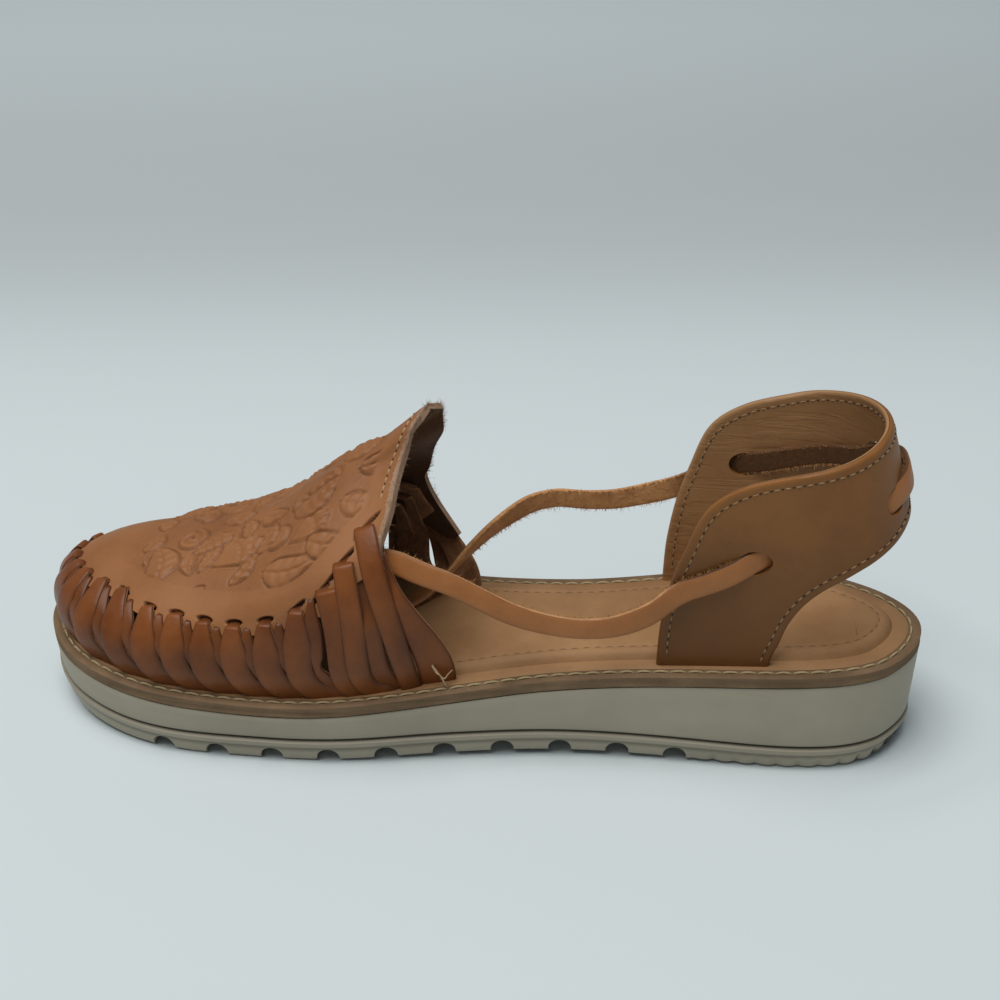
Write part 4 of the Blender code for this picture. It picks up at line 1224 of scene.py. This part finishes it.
def fan_relief(p, q, reach, across, heading, length, spread):
    """A shell of curved ribs fanning out from a point."""
    along, aside = own_places(p, q, reach, across, heading)
    radius = np.hypot(along, aside)
    angle = np.degrees(np.arctan2(aside, along))
    rim = length * (1 + 0.05 * np.cos(np.radians(angle) * 9))
    edge = np.maximum(radius - rim, (np.abs(angle) - spread) * radius * math.pi / 180)
    ribs = 0.35 * np.cos(2 * math.pi * angle / 13.0) * np.clip(radius / 4, 0, 1)
    height = 0.5 + 0.5 * radius / length + ribs
    height -= 0.7 * np.exp(-((radius - length * 0.72) / 0.5) ** 2)
    return cut_round(height, edge)


def scroll_relief(p, q, reach, across, heading, radius):
    """A curling tendril."""
    turns = np.linspace(0.0, 1.6 * 2 * math.pi, 70)
    size = radius * (0.18 + 0.82 * turns / turns[-1])
    phase = turns + math.radians(heading)
    line = np.column_stack([reach + size * np.cos(phase), across + size * np.sin(phase)])
    best = np.full(p.shape, 1e9)
    for x, y in line:
        best = np.minimum(best, (p - x) ** 2 + (q - y) ** 2)
    apart = np.sqrt(best)
    height = 0.8 * (1 - (apart / 1.1) ** 2) - 1.0 * np.exp(-((apart - 1.15) / 0.35) ** 2)
    return height, np.clip(1.0 - (apart - 1.3) / 0.4, 0.0, 1.0)


def tooling(p, q):
    """Height of the tooled pattern, in shares of RELIEF, and how matted the ground is."""
    height = np.full(p.shape, -0.35)
    ground = np.ones(p.shape)
    motifs = [(scroll_relief, SCROLLS), (fan_relief, FANS), (leaf_relief, LEAVES)]
    for relief, table in motifs:
        for row in zip(*table.values()):
            shape, cover = relief(p, q, *row)
            height = height * (1 - cover) + shape * cover
            ground *= 1 - cover
    return height, ground


def throat_shift(side, share, row):
    """How far the throat's edge leans heelward: the far half flares, the near corner is cut
    back."""
    margin = margin_row(side, share)
    up = np.clip((row - margin) / (1 - margin), 0.0, 1.0)
    down = np.clip(1 - row / margin, 0.0, 1.0)
    if side == "medial":
        rise = np.sqrt(np.sin(math.pi * up)) * (0.55 + 0.45 * ease((up - 0.2) / 0.5))
        return THROAT_FLARE * rise * ease((share - 0.84) / 0.16)
    return -CORNER_TRIM * ease(down / 0.35) * ease((share - 0.93) / 0.07)


def vamp_sheet(name, per_side, rows):
    """A sheet on the upper's face from below the slots up to the crown and back to the throat."""
    shares = np.linspace(0.0, 1.0, per_side + 1)
    columns = [("lateral", s) for s in shares[:0:-1]] + [("medial", s) for s in shares]
    grid = np.zeros((len(columns), rows + 1, 3))
    above = np.zeros((len(columns), rows + 1))
    slot = np.zeros((len(columns), rows + 1))
    for n, (side, share) in enumerate(columns):
        margin = float(margin_row(side, share))
        climb = run_along(rib_points(side, share, np.linspace(0.0, margin, 30)))[-1]
        corner = LATERAL_CORNER if side == "lateral" else MEDIAL_CORNER
        tuck = VAMP_TUCK + REAR_TUCK * ease((share - 0.80) / 0.08) + corner * ease((share - 0.91) / 0.07)
        low = margin * (1 - tuck / climb)
        t = low + (1.0 - low) * np.linspace(0.0, 1.0, rows + 1) ** 1.08
        grid[n] = rib_points(side, share, t)
        grid[n][:, 0] += throat_shift(side, share, t)
        above[n] = run_along(grid[n]) - tuck
        nearest = int(np.argmin(np.abs(np.array(SLOTS["share"]) - share)))
        centre = SLOTS["share"][nearest]
        drop = SLOTS["drop"][nearest] * MM
        across = (share - centre) * WEAVE_RUN
        half = (1.75 + 1.5 * ease((centre - 0.83) / 0.03)) * MM
        oval = (across / half) ** 2 + ((above[n] + drop - 0.5 * MM) / (0.95 * MM)) ** 2
        slot[n] = ease((1.35 - oval) / 0.7)
    item = new_object(name, grid.reshape(-1, 3), grid_faces(len(columns), rows + 1))
    set_attribute(item, "above", above.ravel())
    set_attribute(item, "slot", slot.ravel())
    share_of = np.repeat([s for _, s in columns], rows + 1)
    set_attribute(item, "throat", (1.0 - share_of) * 118 * MM)
    weld(item)
    soften_pole(item)
    return item


def make_vamp():
    """Tooled vamp: its grain side, and behind it the flesh side with the cut edge."""
    tan = leather("vamp_leather", 0.5, 850.0, 30.0, 0.12, 0.05, "dark")
    flesh = suede("vamp_flesh")
    raw = suede("vamp_raw_edge", 1200.0, 0.9)
    face = vamp_sheet("vamp", *VAMP_GRID)
    tool_vamp(face)
    for material in (tan, raw):
        face.data.materials.append(material)
    throat = read_attribute(face, "throat")
    torn = np.random.default_rng(5)
    for polygon in face.data.polygons:
        if throat[list(polygon.vertices)].mean() < torn.uniform(1.2, 1.9) * MM:
            polygon.material_index = 1
    dress(face, "upper", "upper")
    back = vamp_sheet("vamp_back", *BACK_GRID)
    if mesh_array(back.data.vertex_normals, "vector", 3)[:, 2].sum() < 0:
        back.data.flip_normals()
    for material in (tan, flesh, raw):
        back.data.materials.append(material)
    thicken(back, VAMP_WALL)
    drop_front(back)
    dress(back, "upper")
    throat_stitches()
    throat_fibres(raw)


def drop_front(item):
    """Leaves only the flesh side and the cut edge of a thickened sheet."""
    with editing(item) as shape:
        front = [face for face in shape.faces if face.material_index == 0]
        bmesh.ops.delete(shape, geom=front, context="FACES")


def fibres(name, roots, outward, count, length, material, seed):
    """Loose fibres that stand off a torn edge: thin bent hairs."""
    draw = np.random.default_rng(seed)
    vertices = []
    faces = []
    corners = (0.0, 2.1, 4.2)      # turns round the fibre, about a third of a circle apart
    for _ in range(count):
        k = int(draw.integers(len(roots) - 1))
        along = draw.random()
        root = roots[k] * (1 - along) + roots[k + 1] * along
        heading = unit(outward[k] + draw.normal(0.0, 0.5, 3))
        bend = unit(draw.normal(0.0, 1.0, 3))
        long = length * draw.uniform(0.3, 1.0) ** 1.5
        side = unit(np.cross(heading, bend))
        other = np.cross(heading, side)
        faces += tube_faces(len(vertices), 3, len(corners))
        for step, thick in ((-0.15, 1.0), (0.5, 0.8), (1.0, 0.3)):
            centre = root + heading * long * step + bend * long * 0.45 * step * abs(step)
            for corner in corners:
                round_it = side * math.cos(corner) + other * math.sin(corner)
                vertices.append(centre + round_it * FIBRE * thick)
    return new_object(name, vertices, faces, [material])


def throat_fibres(material):
    """Fibres that stand off the throat's cut edge on both sides."""
    share = 0.996
    roots = []
    outward = []
    for side in ("lateral", "medial"):
        rows = np.linspace(float(margin_row(side, 1.0)) * 0.72, 1.0, 90)
        points, heelward, _, out = rib_frame(side, share, rows)
        points[:, 0] += throat_shift(side, share, rows)
        roots.append(points - out * 0.8 * MM)
        outward.append(heelward * 0.8 + out * 0.45)
    item = fibres("throat_fibres", np.vstack(roots), np.vstack(outward), THROAT_FIBRES,
                  THROAT_FIBRE_LENGTH, material, 21)
    dress(item, "upper")


def soften_pole(item):
    """Evens out the points round the place where the ribs of the toe meet."""
    pole = Vector(rib_points("lateral", 0.0, 1.0)[0])
    with editing(item) as shape:
        for reach, passes in ((16.0 * MM, 12), (9.0 * MM, 25)):
            near = [v for v in shape.verts if (v.co - pole).length < reach]
            for _ in range(passes):
                bmesh.ops.smooth_vert(shape, verts=near, factor=0.5, use_axis_x=True, use_axis_y=True,
                                      use_axis_z=True)


def tool_vamp(item):
    """Presses the pattern and the slots into the vamp's face, paints shade into the slots and darkens the
    tooling's hollows.
    """
    points = mesh_array(item.data.vertices, "co", 3)
    normals = mesh_array(item.data.vertex_normals, "vector", 3)
    if np.sum(normals[:, 2]) < 0:
        item.data.flip_normals()
        normals = -normals
    above, slot, throat = (read_attribute(item, name) for name in ("above", "slot", "throat"))
    reach = LENGTH / 2 - points[:, 0]
    drop = np.maximum(crown_height(np.minimum(reach, TOE_DOME)) - points[:, 2], 0.0)
    p = reach / MM
    q = np.hypot(points[:, 1], drop) / MM
    height, ground = tooling(p, q)
    height = height + ground * 0.22 * np.sin(p * 5.0) * np.sin(q * 5.0 + p)
    field = ease((above - BORDER) / (1.2 * MM)) * ease((throat - 8.0 * MM) / (2.5 * MM))
    field *= ease((228.0 - p) / 8.0)
    border = np.exp(-((above - BORDER + 0.5 * MM) / (1.8 * MM)) ** 2) * ease((throat - 6.0 * MM) / (2 * MM))
    relief = RELIEF * (height * field - 0.35 * border)
    relief -= 1.5 * MM * slot + 0.5 * MM * (1 - ease(throat / (1.5 * MM)))
    points += normals * relief[:, None]
    item.data.vertices.foreach_set("co", points.astype(np.float32).ravel())
    item.data.update()
    # Painted shade in the slots, and the tooling's cut lines and ground darker, as tooled leather is
    dark = np.clip(slot * 1.2 + 0.5 * np.clip(-height - 0.15, 0, 1.2) * field, 0.0, 1.0)
    set_attribute(item, "dark", dark)


def thicken(item, thickness):
    """Gives a face its thickness: flesh side and cut edge take the next two materials."""
    apply_modifier(item, "SOLIDIFY", 60, thickness=thickness, offset=-1.0, material_offset=1,
                   material_offset_rim=2)


def throat_stitches():
    """The seam along the throat, with its pinholes."""
    rows = np.linspace(float(margin_row("lateral", THROAT_SEAM)) * 1.06, 1.0, 60)
    lateral = rib_frame("lateral", THROAT_SEAM, rows)
    medial = rib_frame("medial", THROAT_SEAM, rows[::-1])
    medial[0][:, 0] += throat_shift("medial", THROAT_SEAM, rows[::-1])
    path = np.vstack([lateral[0], medial[0][1:]])
    out = np.vstack([lateral[3], medial[3][1:]])
    pitch = THROAT_STITCH_PITCH
    # The dark rows between the stitches are painted shade in the pinholes
    pale, dark = thread("throat_thread"), thread("throat_holes")
    dress(stitches("throat_stitches", path, out, pitch, 0.66, FINE_THREAD * 1.15, pale), "upper")
    dress(stitches("throat_holes", path, out, pitch, 0.34, FINE_THREAD * 0.9, dark, 1.0), "upper")


def sling_edge(which, step):
    """Reach and height of the sling's cuff edge or lower edge, back centre to foot."""
    rows = range(len(SLING["cuff_reach"]))
    reach = SLING_REACH * smooth(rows, SLING[which + "_reach"], step)
    height = stack_top(reach) + GAP + SLING_HEIGHT * smooth(rows, SLING[which + "_height"], step)
    return np.array([reach, height])


def sling_line(step, share, offset):
    """A point of the sling: step round it, share from its lower edge to its cuff edge."""
    lower = sling_edge("lower", abs(step))
    cuff = sling_edge("cuff", abs(step))
    reach, height = lower + (cuff - lower) * share
    turn = math.copysign(sling_turn(reach, height), step) if step else 0.0
    return sling_curve(turn, height, offset)[0]


def sling_span(step):
    """Width of the sling between its lower edge and its cuff edge."""
    return np.linalg.norm(sling_edge("cuff", abs(step)) - sling_edge("lower", abs(step)))


def make_sling():
    """Open heel sling: outer leather, lining and turned edge."""
    last = len(SLING["cuff_reach"]) - 1.0
    half = np.linspace(0.0, last, 84)
    steps = np.concatenate([-half[:0:-1], half])
    fine = np.array([0.0, 0.008, 0.02, 0.035])
    shares = np.concatenate([fine, np.linspace(0.06, 0.94, 22), 1.0 - fine[::-1]])
    outer = np.zeros((len(steps), len(shares), 3))
    inner = outer.copy()
    edge = SLING_EDGE_ROUND
    for n, step in enumerate(steps):
        span = sling_span(step)
        for row, share in enumerate(shares):
            apart = min(share, 1.0 - share) * span
            soft = edge * (1 - math.sqrt(max(1 - (1 - min(apart / edge, 1.0)) ** 2, 0.0)))
            groove = SEAM_GROOVE * math.exp(-((apart - SLING_SEAM_INSET) / (0.45 * MM)) ** 2)
            outer[n, row] = sling_line(step, share, -soft - groove)
            inner[n, row] = sling_line(step, share, -SLING_WALL + soft + 0.5 * groove)
    columns, rows = outer.shape[:2]
    size = columns * rows
    vertices = np.vstack([outer.reshape(-1, 3), inner.reshape(-1, 3)])
    faces = grid_faces(columns, rows) + grid_faces(columns, rows, size, True)
    slots = [0] * (len(faces) // 2) + [1] * (len(faces) // 2)
    for n in range(columns - 1):
        for row, turned in ((0, False), (rows - 1, True)):
            a, b = n * rows + row, (n + 1) * rows + row
            faces.append((a, b, size + b, size + a) if turned else (b, a, size + a, size + b))
            slots.append(2)
    for row in range(rows - 1):
        for column, turned in ((0, True), (columns - 1, False)):
            a, b = column * rows + row, column * rows + row + 1
            faces.append((a, b, size + b, size + a) if turned else (b, a, size + a, size + b))
            slots.append(2)
    grain = leather("sling_leather", 0.45, 850.0, 42.0, 0.12, 0.05, "low")
    cut_edge = leather("sling_edge", 0.65, 1200.0, 120.0, 0.3)
    item = new_object("sling", vertices, faces, [grain, lining_leather(), cut_edge], slots)
    weld(item)
    for turn, height in sling_holes():
        take_out(item, hole_cutter(turn, height))
    up = (mesh_array(item.data.vertices, "co", 3)[:, 2] - float(stack_top(SLING_REACH))) / SLING_HEIGHT
    set_attribute(item, "low", 0.6 * ease((0.75 - up) / 0.6))
    dress(item, "heel_sling", "heel_sling")
    sling_seams(last)


def sling_seams(last):
    """Stitches and pinholes along both edges of the sling, on its outer and inner face."""
    # The dark rows between the stitches are painted shade in the pinholes
    pale, dark = thread("sling_thread"), thread("sling_holes")
    sunk = 0.05 * MM
    for name, share_at in (("upper", 1.0), ("lower", 0.0)):
        for face, depth, sign in (("outer", -sunk, 1.0), ("inner", -SLING_WALL + sunk, -1.0)):
            path = []
            out = []
            for step in np.linspace(-last + 0.25, last - 0.25, 150):
                share = abs(share_at - SLING_SEAM_INSET / sling_span(step))
                near = sling_line(step, share, depth)
                path.append(near)
                out.append(sling_line(step, share, depth + sign * MM) - near)
            label = "_%s_%s" % (name, face)
            for kind, share, radius, material, phase in (
                ("sling_stitches", 0.62, FINE_THREAD, pale, 0.5),
                ("sling_holes", 0.36, FINE_THREAD * 0.95, dark, 1.0),
            ):
                row = stitches(kind + label, np.array(path), np.array(out), SLING_STITCH_PITCH, share,
                               radius, material, phase)
                dress(row, "heel_sling")


def lining_leather():
    """Pale lining with fine wrinkles that run level round the heel."""
    n = Nodes("sling_lining")
    cloud = n.noise(40.0, 5.0, 0.6)
    light, dark = COLOURS["sling_lining"]
    colour = n.blend(n.ramp(cloud, 0.35, 0.68), dark, light)
    creases = n.noise(150.0, 5.0, 0.6, n.stretched((0.22, 0.22, 1.7)), 0.8)
    lines = n.ramp(creases, 0.42, 0.5)
    fine = n.noise(900.0, 3.0, 0.5)
    height = n.math("ADD", n.math("MULTIPLY", lines, 0.8), n.math("MULTIPLY", fine, 0.25))
    return n.finish(colour, None, n.bump(height, 0.22, 0.0008), Roughness=0.6)


def hole_cutter(turn, height):
    """An oval block through the sling's wall."""
    centre = sling_curve(turn, height, -SLING_WALL / 2)[0]
    out = unit(sling_curve(turn, height, SLING_WALL)[0] - centre)
    up = np.array([0.0, 0.0, 1.0])
    along = unit(np.cross(out, up))
    turns = np.linspace(0.0, 2 * math.pi, 28, endpoint=False)
    deep = 3 * SLING_WALL
    vertices = []
    for depth in (-deep, deep):
        for t in turns:
            flat = along * math.cos(t) * SLING_HOLE_LENGTH / 2 + up * math.sin(t) * SLING_HOLE_HEIGHT / 2
            vertices.append(centre + flat + out * depth)
    item = new_object("hole_cutter", vertices, tube_faces(0, 2, len(turns), True))
    weld(item)
    return item


def strap_route(step):
    """Centre line of the ankle strap, lateral end to medial end, each point with the
    direction of the strap's width."""
    cuff = sling_cuff_height()
    outside = STRAP_THICKNESS / 2 + STRAP_CLEARANCE * 0.4
    offsets = {1: outside, 0: -SLING_WALL / 2, -1: -SLING_WALL - outside}
    rows = []
    for side, table in ((-1.0, STRAP_LATERAL), (1.0, STRAP_MEDIAL)):
        for along, offset, height, lean in zip(*table.values()):
            turn = lean * math.pi / 2
            width = (0.0, -side * math.sin(turn), math.cos(turn))
            spot = place(along * LENGTH, offset * BALL_WIDTH / 2, height * cuff)[0]
            rows.append((*spot, *width))
    on_sling = []
    for turn, share, side in zip(*(STRAP_ON_SLING[key] for key in ("turn", "height", "side"))):
        edges = (-STRAP_WIDTH, STRAP_WIDTH)
        low, high = (sling_curve(turn, share * cuff + up, offsets[side])[0] for up in edges)
        on_sling.append((*(low + high) / 2, *(high - low) / np.linalg.norm(high - low)))
    lateral = len(STRAP_LATERAL["along"])
    route = np.array(rows[:lateral] + on_sling + rows[lateral:])
    steps = run_along(route[:, :3])
    at = np.linspace(0.0, steps[-1], int(round(steps[-1] / step)) + 1)
    return np.column_stack([smooth(steps, route[:, k], at) for k in range(6)])


def make_strap():
    """Ankle strap: a long leather lace through the sling's holes, rough on its flesh side."""
    route = strap_route(LACE_STEP)
    points = route[:, :3]
    ahead = unit(np.gradient(points, axis=0))
    thick = unit(np.cross(ahead, route[:, 3:]))
    wide = unit(np.cross(thick, ahead))
    centre = np.array([LENGTH / 2 - SLING_REACH / 2, 0.0, points[:, 2].mean()])
    if np.sum(thick * (points - centre)) < 0:
        thick = -thick
    run = np.linspace(0.0, 1.0, len(points))
    wave = np.sin(run * 61.0) * 0.5 + np.sin(run * 27.0 + 1.0) * 0.5
    half = STRAP_WIDTH / 2 * (1.0 + 0.05 * wave)
    ribbons = Ribbons()
    # Painted shade at the lace's medial end, where it lies inside the shoe
    shade = 0.7 * ease((run - 0.965) / 0.03)
    ribbons.add(points, wide, thick, half, STRAP_THICKNESS, 0.12 * MM, shade)
    grain = leather("lace_leather", 0.46, 900.0, 50.0, 0.12, 0.10, "edge")
    flesh = suede("lace_flesh", 420.0, 1.0, "inside")
    lace = ribbons.build("ankle_lace", grain, flesh)
    reach = LENGTH / 2 - mesh_array(lace.data.vertices, "co", 3)[:, 0]
    # Painted shade on the lace's flesh side inside the heel cuff
    set_attribute(lace, "inside", 0.95 * ease((SLING_REACH - reach) / (8.0 * MM)))
    dress(lace, "ankle_strap", "ankle_strap")
    rough = points - thick * STRAP_THICKNESS * 0.4
    edges = np.vstack([rough + wide * half[:, None] * 0.9, rough - wide * half[:, None] * 0.9])
    outward = np.vstack([wide - thick * 0.7, -wide - thick * 0.7])
    fuzz = suede("lace_fuzz")
    dress(fibres("lace_fibres", edges, outward, LACE_FIBRES, LACE_FIBRE_LENGTH, fuzz, 9), "ankle_strap")


def make_camera():
    """The camera of the photograph."""
    data = bpy.data.cameras.new("camera")
    data.lens = CAMERA_LENS
    data.sensor_width = SENSOR_WIDTH
    data.clip_start = 0.01
    camera = add_object("camera", data)
    ahead = Vector(CAMERA_AIM).normalized()
    right = ahead.cross(Vector((0.0, 0.0, 1.0))).normalized()
    down = -right.cross(ahead)
    c, s = math.cos(CAMERA_ROLL), math.sin(CAMERA_ROLL)
    x_axis = right * c - down * s
    y_axis = -(right * s + down * c)
    turned = Matrix((x_axis, y_axis, -ahead)).transposed().to_4x4()
    spot = place(CAMERA_REACH, CAMERA_SIDE, CAMERA_HEIGHT)[0]
    camera.matrix_world = Matrix.Translation(Vector(spot)) @ turned
    bpy.context.scene.camera = camera


def make_studio():
    """Floor paper with painted light and shade in its tone, one soft light overhead and a pale sky."""
    n = Nodes("floor_paper")
    light, dark = COLOURS["floor_paper"]
    paper = n.finish(n.blend(n.attribute("tone"), dark, light), Roughness=0.85)
    ahead = unit(np.array([CAMERA_AIM[0], CAMERA_AIM[1], 0.0]))
    aside = np.array([ahead[1], -ahead[0], 0.0])
    foot = place(CAMERA_REACH, CAMERA_SIDE, 0.0)[0]
    edges = (-PAPER_HALF, PAPER_HALF)
    rows = [foot + ahead * away + aside * across for away in PAPER["away"] for across in edges]
    floor = new_object("floor", rows, grid_faces(len(PAPER["away"]), 2), [paper])
    # The tone attribute paints light and shade across the paper
    set_attribute(floor, "tone", np.repeat(PAPER["tone"], 2))
    data = bpy.data.lights.new("top_light", "AREA")
    data.size = LIGHT_SIZE
    data.energy = LIGHT_POWER
    data.color = LIGHT_COLOUR
    facing = Vector(LIGHT_PLACE).to_track_quat("Z", "Y").to_matrix().to_4x4()
    add_object("top_light", data).matrix_world = Matrix.Translation(LIGHT_PLACE) @ facing
    world = bpy.data.worlds.new("studio")
    world.use_nodes = True
    background = world.node_tree.nodes["Background"]
    background.inputs["Color"].default_value = (*SKY_COLOUR, 1.0)
    background.inputs["Strength"].default_value = SKY_STRENGTH
    bpy.context.scene.world = world
    bpy.context.scene.view_settings.view_transform = "Standard"


make_camera()
make_studio()
make_outsole()
make_welt()
make_sock()
make_vamp()
make_weave()
make_sling()
make_strap()
